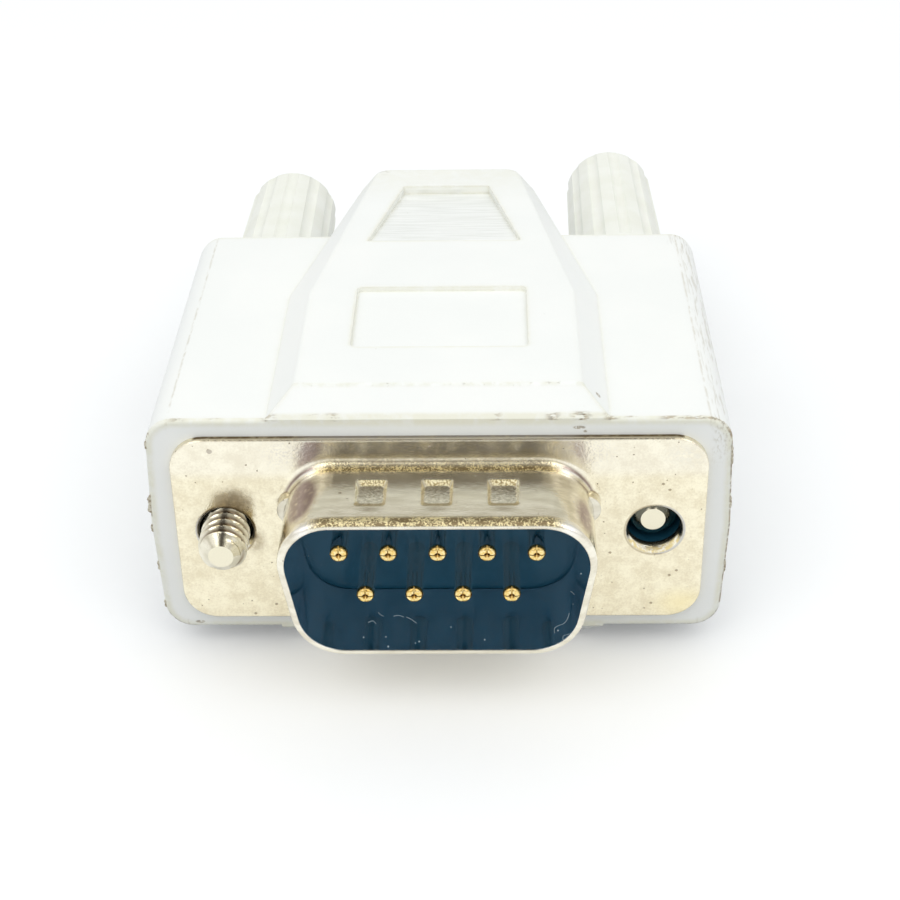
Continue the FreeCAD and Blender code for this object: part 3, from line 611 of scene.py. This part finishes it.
    def painted_corner_light(self, colour):
        """Painted white highlights on the corners of the root and the rim, a painted dark reflection line
        outside the root's corners and a brown patch on the left bump.
        """
        bends = self.most(self.band(self.out, -0.5, 0.75), self.ramp(self.rim_place, 0.8, 0.5))
        # Painted highlights on the corners of the root and the rim.
        bright = self.times(bends, self.ramp(self.side, 6.6, 7.4), self.on_top)
        colour = self.mix(self.times(bright, 0.9), colour, (0.97, 0.965, 0.96))
        # Painted dark reflection along the outside of the root's corners.
        corner = self.times(self.band(self.out, -0.14, 0.12), self.ramp(self.side, 6.4, 7.4))
        corner = self.times(corner, self.ramp(self.up, 2.0, 3.2))
        colour = self.mix(self.times(corner, 0.85), colour, (0.20, 0.13, 0.12))
        bump = self.blob((-9.25, FLANGE_FRONT - 0.45, MIDDLE_Z + 2.1), (0.55, 0.6, 1.1))
        return self.mix(self.times(self.ramp(bump, 0.0, 0.4), 0.8), colour, (0.40, 0.33, 0.22))

    def rubbed(self):
        """The straight stretches of the root and the rim on top, where the plate is rubbed rough."""
        root = self.times(self.band(self.out, -0.5, 0.65), self.on_top, self.straight)
        rim = self.times(self.ramp(self.rim_place, 0.75, 0.45), self.ramp(self.rim_place, 0.005, 0.035))
        return self.most(root, self.times(rim, self.on_top, self.straight))

    def gilded(self, colour, rubbed):
        """Brown and gold flecks on the rubbed stretches, and a painted yellow highlight at each end of the
        root.
        """
        glint = self.ramp(self.add(self.times(self.flecks, 0.7), self.times(self.blotches, 0.5)), 0.55, 0.68)
        gilt = self.mix(glint, (0.24, 0.17, 0.07), (1.0, 0.88, 0.52))
        colour = self.mix(self.times(rubbed, 0.9), colour, gilt)
        # Painted yellow highlights at the ends of the root.
        yellow = self.most(
            self.blob((-7.0, FLANGE_FRONT - 0.5, MIDDLE_Z + 4.8), (0.5, 0.6, 0.6)),
            self.blob((7.2, FLANGE_FRONT - 0.5, MIDDLE_Z + 4.8), (0.5, 0.6, 0.6)),
        )
        return self.mix(self.times(self.ramp(yellow, 0.1, 0.5), 0.8), colour, (1.0, 0.90, 0.42))

    def in_dimples(self):
        """1 inside the three dimples."""
        inside = self.times(self.ramp(self.up, 4.62, 4.57), self.ramp(self.up, 4.2, 4.3))
        inside = self.times(inside, self.ramp(self.side, 5.2, 5.0), self.outer)
        return self.times(inside, self.ramp(self.rim_place, 0.9, 1.0), self.ramp(self.out, -1.1, -1.3))

    def dimples_painted_light(self, colour, in_dimple, back):
        """Gold flecks with a painted highlight on the dimples' back walls, painted shade on their left and
        front walls, painted light on their floors and painted shade on the ramps before them.
        """
        # The back walls are drawn bright with gold flecks: partly the plate's flecks, partly a painted
        # highlight.
        flecks = self.mix(self.ramp(self.flecks, 0.4, 0.55), (0.45, 0.34, 0.14), (1.0, 0.93, 0.66))
        colour = self.mix(self.times(back, 0.9), colour, flecks)
        # Painted shade on the left and front walls, which face right and back.
        left_and_front = self.most(self.facing((1, 0, 0), 0.1, 0.3), self.facing((0, 1, 0), 0.05, 0.2))
        colour = self.mix(self.times(in_dimple, left_and_front, 0.5), colour, (0.50, 0.46, 0.37))
        # Painted light on the floors.
        floor = self.times(in_dimple, self.facing((0, 0, 1), 0.97, 0.995))
        pale = self.mix(self.ramp(self.fine, 0.38, 0.62), (0.52, 0.48, 0.38), (1.0, 0.97, 0.86))
        colour = self.mix(self.times(floor, 0.7), colour, pale)
        # Painted shade on the ramps in front of the dimples.
        painted_ramp_shade = self.times(self.band(self.out, -4.5, 0.45), self.ramp(self.up, 4.5, 4.6))
        painted_ramp_shade = self.times(painted_ramp_shade, self.ramp(self.drawn, 0.3, 0.6, 0.4, 1.0))
        for place in (-DIMPLE_PITCH, 0, DIMPLE_PITCH):
            below = self.times(painted_ramp_shade, self.band(self.x, place, 1.1))
            colour = self.mix(self.times(below, 0.7), colour, (0.34, 0.29, 0.20))
        return colour

    def holed(self, colour, in_hole, lip):
        """The screw holes: painted shade inside, bright on the lower lip, with a brown line round them."""
        # Painted shade inside the holes.
        colour = self.mix(self.times(in_hole, 0.85), colour, (0.05, 0.07, 0.09))
        worn = self.mix(self.ramp(self.grain, 0.4, 0.6), (0.96, 0.92, 0.80), (0.80, 0.66, 0.34))
        colour = self.mix(lip, colour, worn)
        line = self.times(self.band(self.hole, 1.74, 0.09), self.ramp(self.out, -0.12, -0.04))
        line = self.times(line, self.ramp(self.out, 0.12, 0.04))
        return self.mix(self.times(line, 0.6), colour, (0.34, 0.26, 0.15))

    def tilted_normal(self, lip):
        """Rounded edges, with the lip of each hole tilted towards the front so that it catches the light."""
        tilt = self.node("ShaderNodeCombineXYZ", {"Y": self.times(lip, -2.5)}).outputs[0]
        rounded = self.vector_math("ADD", self.soft_normal(0.16), tilt)
        return self.vector_math("NORMALIZE", rounded)


def nickel():
    """Yellowed bright plate: pitted, with plum patches and painted highlights, shade and reflections on and
    round the shroud, rubbed on its bends, clean inside.
    """
    s = PlateSurface()
    stain = s.stain()
    craters = s.craters()
    rubbed = s.rubbed()
    in_dimple = s.in_dimples()
    dimple_back = s.times(in_dimple, s.facing((0, -1, 0), 0.25, 0.45))
    pits = s.times(s.most(s.specks(0.5, 0.06, 0.3), s.specks(1.7, 0.11, 0.3, 2.3)), s.outer)
    in_hole = s.times(s.ramp(s.hole, 1.72, 1.62), s.ramp(s.out, -0.15, 0.0))
    lip = s.times(in_hole, s.ramp(s.out, 0.75, 0.35), s.ramp(s.up, -0.35, -0.95))
    inside = s.times(s.inside, s.math("SUBTRACT", 1.0, in_hole))

    colour = s.mix(s.on_flange, s.wall(), s.flange())
    colour = s.painted_reflection_and_freckles(colour)
    colour = s.mix(s.times(stain, 0.85), colour, s.mix(s.grain, (0.28, 0.22, 0.14), (0.46, 0.37, 0.23)))
    colour = s.mix(s.ramp(craters, 0.1, 0.5, 0.0, 0.7), colour, (0.24, 0.18, 0.11))
    colour = s.painted_corner_light(s.plum_patched(colour))
    colour = s.dimples_painted_light(s.gilded(colour, rubbed), in_dimple, dimple_back)
    colour = s.mix(s.times(pits, 0.6), colour, (0.22, 0.17, 0.12))
    colour = s.mix(inside, colour, (0.88, 0.93, 0.98))
    s.set(Base_Color=s.holed(colour, in_hole, lip))

    rough = s.ramp(s.cloud, 0.2, 0.8, 0.10, 0.17)
    for place, roughness in (
        (stain, 0.3), (rubbed, 0.15), (pits, 0.3), (dimple_back, 0.3), (s.straight, 0.08), (in_hole, 0.15),
    ):
        rough = s.add(rough, s.times(place, roughness))
    s.set(Roughness=s.mix(inside, rough, (0.06, 0.06, 0.06)))
    worn = s.times(s.most(rubbed, dimple_back), s.add(s.flecks, s.blotches))
    cut = s.times(s.most(pits, s.ramp(craters, 0.1, 0.5)), -1)
    fine, grain = (s.times(noise, s.outer) for noise in (s.fine, s.grain))
    s.bump((fine, 0.005), (grain, 0.010), (cut, 0.02), (worn, 0.04), normal=s.tilted_normal(lip))
    return s.material


def insulator():
    """Blue-black glossy plastic with a little dust."""
    s = Surface("insulator", Specular_IOR_Level=0.35)
    cloud = s.noise(1.6, 3.0)
    dust = s.most(s.specks(1.2, 0.035, 0.4), s.specks(0.5, 0.02, 0.3, 1.7))
    clean = s.mix(cloud, (0.009, 0.072, 0.128), (0.013, 0.090, 0.155))
    s.set(Base_Color=s.mix(s.times(dust, 0.5), clean, (0.3, 0.4, 0.45)))
    s.set(Roughness=s.ramp(cloud, 0.2, 0.8, 0.3, 0.42))
    s.bump((s.noise(0.2, 2.0), 0.003))
    return s.material


def gold():
    """The contacts' plating: pale and bright along the shaft, gold on the rounded end, with painted shade on
    the end's middle, rim and top.
    """
    s = Surface("gold", Metallic=1.0)
    y = s.axes()[1]
    fine = s.noise(0.12, 3.0, 0.6)
    nose = s.ramp(y, PIN_LOW.y + 0.42, PIN_LOW.y + 0.30)
    shaft = s.mix(fine, (0.86, 0.82, 0.78), (0.95, 0.91, 0.87))
    end = s.mix(s.ramp(fine, 0.35, 0.65), (0.86, 0.58, 0.16), (1.0, 0.84, 0.44))
    across = s.add(s.within()["X"], -0.5)
    above = s.add(s.within()["Z"], -0.5)
    radius = s.times(s.length(across, above), PIN_WIDTH)
    # Painted shade on the rounded end: in the slot at its middle, round its rim and over its top.
    end = s.mix(s.ramp(radius, 0.22, 0.12), end, (0.30, 0.15, 0.03))
    end = s.mix(s.ramp(radius, 0.40, 0.48, 0.0, 0.6), end, (0.55, 0.33, 0.08))
    end = s.mix(s.ramp(s.times(above, PIN_WIDTH), 0.25, 0.45, 0.0, 0.6), end, (0.42, 0.26, 0.07))
    s.set(Base_Color=s.mix(nose, shaft, end))
    s.set(Roughness=s.add(0.05, s.times(nose, s.ramp(fine, 0.2, 0.8, 0.12, 0.25))))
    s.bump((s.times(fine, nose), 0.006))
    return s.material


def screw_steel():
    """Plated steel of the thumbscrews, brown in the thread's valleys, with painted shade on the faces that
    look back.
    """
    s = Surface("screw_steel", Metallic=1.0)
    cloud = s.noise(0.8, 3.0)
    fine = s.noise(0.08, 3.0, 0.7)
    flat = s.facing((0, -1, 0), 0.9, 0.98)
    x, _, z = s.axes()
    radius = s.length(s.add(s.math("ABSOLUTE", x), -SCREW_X), s.add(z, -MIDDLE_Z))
    crest = s.mix(s.ramp(cloud, 0.3, 0.7), (0.68, 0.64, 0.51), (0.86, 0.82, 0.69))
    valley = s.mix(fine, (0.20, 0.15, 0.10), (0.36, 0.29, 0.21))
    depth = s.times(s.within()["Y"], SCREW_REST[-1][0])
    behind_tip = s.ramp(depth, TIP_CHAMFER - 0.1, TIP_CHAMFER + 0.05)
    in_thread = s.times(behind_tip, s.ramp(depth, THREAD_LENGTH, THREAD_LENGTH - 0.2))
    thread = s.mix(s.times(s.ramp(radius, 1.38, 1.18), in_thread), crest, valley)
    # Painted shade on the faces that look back, away from the lamps.
    behind = s.facing((0, 1, 0), 0.25, 0.45)
    thread = s.mix(s.times(behind, 0.5), thread, (0.34, 0.27, 0.19))
    s.set(Base_Color=s.mix(flat, thread, (0.86, 0.81, 0.64)))
    s.set(Roughness=s.add(s.ramp(fine, 0.2, 0.8, 0.08, 0.16), s.times(flat, 0.12)))
    s.bump((fine, 0.003))
    return s.material


def plain_metal(name, low, high, roughness):
    """Metal that is seen little or not at all: two tones and a fine grain."""
    s = Surface(name, Metallic=1.0)
    fine = s.noise(0.15, 3.0, 0.6)
    s.set(Base_Color=s.mix(fine, low, high))
    s.set(Roughness=s.ramp(fine, 0.2, 0.8, roughness, roughness + 0.15))
    s.bump((fine, 0.003))
    return s.material


def inner_mould_plastic():
    """Greyish plastic round the solder cups, hidden in the hood."""
    s = Surface("inner_mould_plastic")
    cloud = s.noise(1.5, 3.0)
    s.set(Base_Color=s.mix(cloud, (0.62, 0.62, 0.58), (0.70, 0.70, 0.66)))
    s.set(Roughness=s.ramp(cloud, 0.2, 0.8, 0.45, 0.6))
    s.bump((s.noise(0.2, 2.0), 0.005))
    return s.material


def dress(materials):
    """Gives every carried-over node its material."""
    for node, thing in NODES.items():
        kind = node.rstrip("0123456789_")
        name = {"pin": "gold", "jumper": "wire"}.get(kind, node)
        thing.data.materials.clear()
        thing.data.materials.append(materials[name])


def thread_radius(depth, turn):
    """The screw's radius at a depth behind its tip and a share of a turn round it."""
    phase = (depth / THREAD_PITCH + turn) % 1
    rise = (abs(2 * phase - 1) - THREAD_ROOT) / (1 - THREAD_CREST - THREAD_ROOT)
    thread = THREAD_DIAMETER / 2 - THREAD_DEPTH * (1 - min(max(rise, 0), 1))
    cone = TIP_DIAMETER / 2 + (THREAD_DIAMETER - TIP_DIAMETER) / 2 * depth / TIP_CHAMFER
    return min(thread, cone)


def screw_rings():
    """For each ring of a threaded screw, from its tip on, the depth and radius of every vertex."""
    count = round(THREAD_LENGTH / THREAD_PITCH * THREAD_ROWS)
    rings = []
    for index in range(count + 1):
        depth = THREAD_LENGTH * index / count
        turns = (column / SCREW_COLUMNS for column in range(SCREW_COLUMNS))
        rings.append([(depth, thread_radius(depth, turn)) for turn in turns])
    return rings + [[place] * SCREW_COLUMNS for place in SCREW_REST]


def make_screw(side, material):
    """A threaded screw in the place of the plain one."""
    node = f"{side}_screw"
    low, high = (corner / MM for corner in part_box(node))
    centre = (low + high) / 2
    origin = Vector((centre.x, low.y, centre.z))
    rings = screw_rings()
    vertices = []
    for ring in rings:
        for column, (depth, radius) in enumerate(ring):
            angle = 2 * math.pi * column / SCREW_COLUMNS
            vertices.append(origin + Vector((math.cos(angle) * radius, depth, math.sin(angle) * radius)))
    screw = make_mesh(f"{side}_threaded_screw", vertices, ring_faces(len(rings), SCREW_COLUMNS), material)
    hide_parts(node)
    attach(screw, f"{side}_thumbscrew")


def make_mesh(name, vertices, faces, material):
    """A piece from vertices in millimetres, smooth but for its sharp edges."""
    mesh = bpy.data.meshes.new(name)
    mesh.from_pydata([vertex * MM for vertex in vertices], [], faces)
    mesh.materials.append(material)
    build = bmesh.new()
    build.from_mesh(mesh)
    bmesh.ops.remove_doubles(build, verts=build.verts, dist=WELD_DISTANCE * MM)
    bmesh.ops.recalc_face_normals(build, faces=build.faces)
    build.to_mesh(mesh)
    build.free()
    mesh.shade_smooth()
    mesh.set_sharp_from_angle(angle=math.radians(SHARP_ANGLE))
    piece = bpy.data.objects.new(name, mesh)
    bpy.context.scene.collection.objects.link(piece)
    return piece


def ring_faces(count, sides):
    """The faces that join rings of vertices one after another, and a cap on either end."""
    faces = []
    for first in range(0, (count - 1) * sides, sides):
        for column in range(sides):
            here = first + column
            after = first + (column + 1) % sides
            faces.append((here, after, after + sides, here + sides))
    last = (count - 1) * sides
    return faces + [tuple(range(sides)), tuple(range(last, last + sides))]


def make_tube(rings, sides):
    """The vertices and faces of a tube through centres, each with the tube's direction and radius there."""
    vertices = []
    across = rings[0][1].orthogonal()
    for centre, direction, radius in rings:
        across = (across - direction * across.dot(direction)).normalized()
        above = direction.cross(across)
        for column in range(sides):
            angle = 2 * math.pi * column / sides
            vertices.append(centre + (across * math.cos(angle) + above * math.sin(angle)) * radius)
    return vertices, ring_faces(len(rings), sides)


def join(shapes):
    """The vertices and faces of several shapes as those of one."""
    vertices = []
    faces = []
    for more_vertices, more_faces in shapes:
        start = len(vertices)
        vertices.extend(more_vertices)
        faces.extend(tuple(start + index for index in face) for face in more_faces)
    return vertices, faces


def smooth_line(points, steps):
    """Points along a curve that passes through the given ones."""
    line = []
    padded = [points[0]] + points + [points[-1]]
    for a, b, c, d in zip(padded, padded[1:], padded[2:], padded[3:]):
        square = 2 * a - 5 * b + 4 * c - d
        cube = 3 * b - a - 3 * c + d
        for step in range(steps):
            t = step / steps
            line.append(0.5 * (2 * b + (c - a) * t + square * t**2 + cube * t**3))
    return line + [points[-1]]


def make_fibre(points, radius):
    """A thin tube along a curve through points."""
    line = smooth_line(points, FIBRE_STEPS)
    ends = [line[0]] + line + [line[-1]]
    rings = []
    for before, here, after in zip(ends, line, ends[2:]):
        rings.append((here, (after - before).normalized(), radius))
    return make_tube(rings, FIBRE_SIDES)


def make_grain(place, radius):
    """A rounded grain of dust."""
    along = Vector((1, 0, 0))
    rings = [(place + along * (shift * radius), along, share * radius) for shift, share in DUST_OUTLINE]
    return make_tube(rings, DUST_SIDES)


def make_lint(material):
    """Fibres and dust on the shroud's floor and on the insulator."""
    middle = Vector((0, FLANGE_FRONT, MIDDLE_Z))
    shapes = []
    for index, fibre in enumerate(FIBRES):
        radius = FIBRE_RADIUS if index < THICK_FIBRES else THIN_SHARE * FIBRE_RADIUS
        shapes.append(make_fibre([middle + Vector(point) for point in fibre], radius))
    for index, point in enumerate(DUST):
        radius = DUST_RADIUS * DUST_SHARES[index % len(DUST_SHARES)]
        shapes.append(make_grain(middle + Vector(point), radius))
    piece = make_mesh("lint", *join(shapes), material)
    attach(piece, "plug")


def make_bit(side, low, high, reach, chance):
    """One ragged strip on the hood's front outline, with four vertices at each of its heights."""
    count = max(BIT_LEAST_STEPS, round((high - low) / BIT_STEP))
    vertices = []
    for index in range(count + 1):
        z = low + (high - low) * index / count
        half = HOOD_HIGH.x - HOOD_DRAFT * abs(z)
        out = 0.0 if index in (0, count) else reach * chance.uniform(BIT_LEAST_SHARE, 1.0)
        back = FLANGE_FRONT + BIT_BACK + chance.uniform(0, BIT_BACK_SPREAD)
        for y in (FLANGE_FRONT + BIT_FRONT, back):
            vertices.append(Vector((side * (half - BIT_ROOT), y, MIDDLE_Z + z)))
            vertices.append(Vector((side * (half + out), y, MIDDLE_Z + z)))
    last = 4 * count
    faces = []
    for a in range(0, last, 4):
        b = a + 4
        for first, second in ((0, 1), (1, 3), (3, 2), (2, 0)):
            faces.append((a + first, a + second, b + second, b + first))
    faces.append((0, 1, 3, 2))
    faces.append((last, last + 1, last + 3, last + 2))
    return vertices, faces


def make_bits(material):
    """Frayed bits that stand out from the hood's front outline."""
    chance = random.Random(BIT_SEED)
    shapes = []
    for side, bits in ((-1, LEFT_BITS), (1, RIGHT_BITS)):
        for low, high, reach in bits:
            shapes.append(make_bit(side, low, high, reach, chance))
    piece = make_mesh("frayed_bits", *join(shapes), material)
    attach(piece, "plug")


def make_matrix(axes, place):
    """A matrix from three axes and a place."""
    made = Matrix.Identity(4)
    for index, axis in enumerate(axes):
        made.col[index][:3] = axis
    made.translation = place
    return made


def make_camera():
    """The camera at the photograph's place and angle."""
    elevation, yaw, roll = (math.radians(a) for a in (CAMERA_ELEVATION, CAMERA_YAW, CAMERA_ROLL))
    level = math.cos(elevation)
    look = Vector((math.sin(yaw) * level, math.cos(yaw) * level, -math.sin(elevation)))
    across = look.cross(Vector((0, 0, 1))).normalized()
    up = across.cross(look)
    rolled_across = across * math.cos(roll) + up * math.sin(roll)
    rolled_up = up * math.cos(roll) - across * math.sin(roll)
    data = bpy.data.cameras.new("camera")
    data.sensor_width = SENSOR
    data.lens = LENS
    data.clip_start = CLIP_START * MM
    data.clip_end = CLIP_END * MM
    camera = bpy.data.objects.new("camera", data)
    camera.matrix_world = make_matrix((rolled_across, rolled_up, -look), Vector(CAMERA_PLACE) * MM)
    bpy.context.scene.collection.objects.link(camera)
    bpy.context.scene.camera = camera


def make_lamp(name, place, target, size, power, colour):
    """A soft rectangular lamp at a place in millimetres, facing a target."""
    data = bpy.data.lights.new(name, "AREA")
    data.shape = "RECTANGLE"
    data.size, data.size_y = (s * MM for s in size)
    data.energy = power
    data.color = colour
    lamp = bpy.data.objects.new(name, data)
    lamp.location = Vector(place) * MM
    lamp.rotation_mode = "QUATERNION"
    lamp.rotation_quaternion = (Vector(target) * MM - lamp.location).to_track_quat("-Z", "Y")
    bpy.context.scene.collection.objects.link(lamp)


def make_world():
    """Light from all around. The camera and mirrors see a pale room with white sides and a dark gap."""
    world = bpy.data.worlds.new("studio")
    bpy.context.scene.world = world
    world.use_nodes = True
    n = Nodes(world.node_tree)
    direction = n.parts(n.node("ShaderNodeTexCoord").outputs["Generated"])
    across = n.math("ABSOLUTE", direction["X"])
    room = n.mix(n.ramp(direction["Z"], ROOM_FOOT, GAP_FOOT), HORIZON_COLOUR, ROOM_COLOUR)
    beside = n.ramp(across, SIDE_EDGE, SIDE_EDGE + SIDE_FADE)
    raised = n.ramp(direction["Z"], SIDE_FOOT, SIDE_FOOT + SIDE_FADE)
    ahead = n.ramp(direction["Y"], SIDE_BACK, SIDE_BACK - 2 * SIDE_FADE)
    room = n.mix(n.times(beside, raised, ahead), room, SIDE_COLOUR)
    between = n.ramp(across, GAP_EDGE + GAP_FADE, GAP_EDGE)
    high = n.ramp(direction["Z"], GAP_FOOT, GAP_FOOT + GAP_FADE)
    forward = n.ramp(direction["Y"], GAP_BACK, GAP_BACK - 2 * GAP_FADE)
    room = n.mix(n.times(between, high, forward), room, GAP_COLOUR)
    shown = n.tree.nodes["Background"]
    n.feed(shown.inputs["Color"], room)
    n.feed(shown.inputs["Strength"], 1.0)
    rise = n.node("ShaderNodeMapRange", {"Value": direction["Z"], "To Min": FILL_LOW, "To Max": FILL_HIGH})
    given = n.node("ShaderNodeBackground", {"Color": FILL_COLOUR, "Strength": rise.outputs["Result"]})
    mixed = n.node("ShaderNodeMixShader", {0: n.seen_directly(), 1: given.outputs[0], 2: shown.outputs[0]})
    n.feed(n.tree.nodes["World Output"].inputs["Surface"], mixed.outputs[0])


def make_floor():
    """A plain floor that looks white but lights the object less than a white one would."""
    s = Surface("floor", Roughness=0.9, Specular_IOR_Level=0.0)
    shown = s.seen_directly()
    s.set(Base_Color=s.mix(shown, FLOOR_GIVEN, FLOOR_SHOWN))
    glow = s.node("ShaderNodeEmission", {"Color": FLOOR_GLOW})
    share = s.times(shown, FLOOR_GLOW_SHARE)
    mixed = s.node("ShaderNodeMixShader", {0: share, 1: s.shader.outputs[0], 2: glow.outputs[0]})
    s.feed(s.tree.nodes["Material Output"].inputs["Surface"], mixed.outputs[0])
    half = FLOOR_HALF * MM
    corners = [(-half, -half, 0), (half, -half, 0), (half, half, 0), (-half, half, 0)]
    mesh = bpy.data.meshes.new("floor")
    mesh.from_pydata(corners, [], [(0, 1, 2, 3)])
    mesh.materials.append(s.material)
    floor = bpy.data.objects.new("floor", mesh)
    bpy.context.scene.collection.objects.link(floor)


nickel_plate = nickel()
knob = knob_plastic()
steel = screw_steel()
black = insulator()
shell_steel = plain_metal("rear_shell_steel", (0.60, 0.57, 0.52), (0.72, 0.69, 0.64), 0.3)
retainer_steel = plain_metal("retainer_steel", (0.50, 0.49, 0.47), (0.62, 0.60, 0.58), 0.25)
dress({
    "hood": hood_plastic(),
    "inner_mould": inner_mould_plastic(),
    "front_shell": nickel_plate,
    "front_insulator": black,
    "rear_insulator": black,
    "rear_shell": shell_steel,
    "gold": gold(),
    "wire": plain_metal("tinned_wire", (0.70, 0.68, 0.64), (0.80, 0.78, 0.74), 0.25),
    "left_screw": steel,
    "right_screw": steel,
    "left_knob": knob,
    "right_knob": knob,
    "left_retainer": retainer_steel,
    "right_retainer": retainer_steel,
})

for side in ("left", "right"):
    make_screw(side, steel)
make_lint(lint())
make_bits(flash_plastic())

make_camera()
make_world()
make_floor()
for side, name in ((-1, "left_lamp"), (1, "right_lamp")):
    place = (side * LAMP_PLACE[0], LAMP_PLACE[1], LAMP_PLACE[2])
    make_lamp(name, place, LAMP_TARGET, LAMP_SIZE, LAMP_POWER, LAMP_COLOUR)
bpy.context.scene.view_settings.view_transform = "Standard"
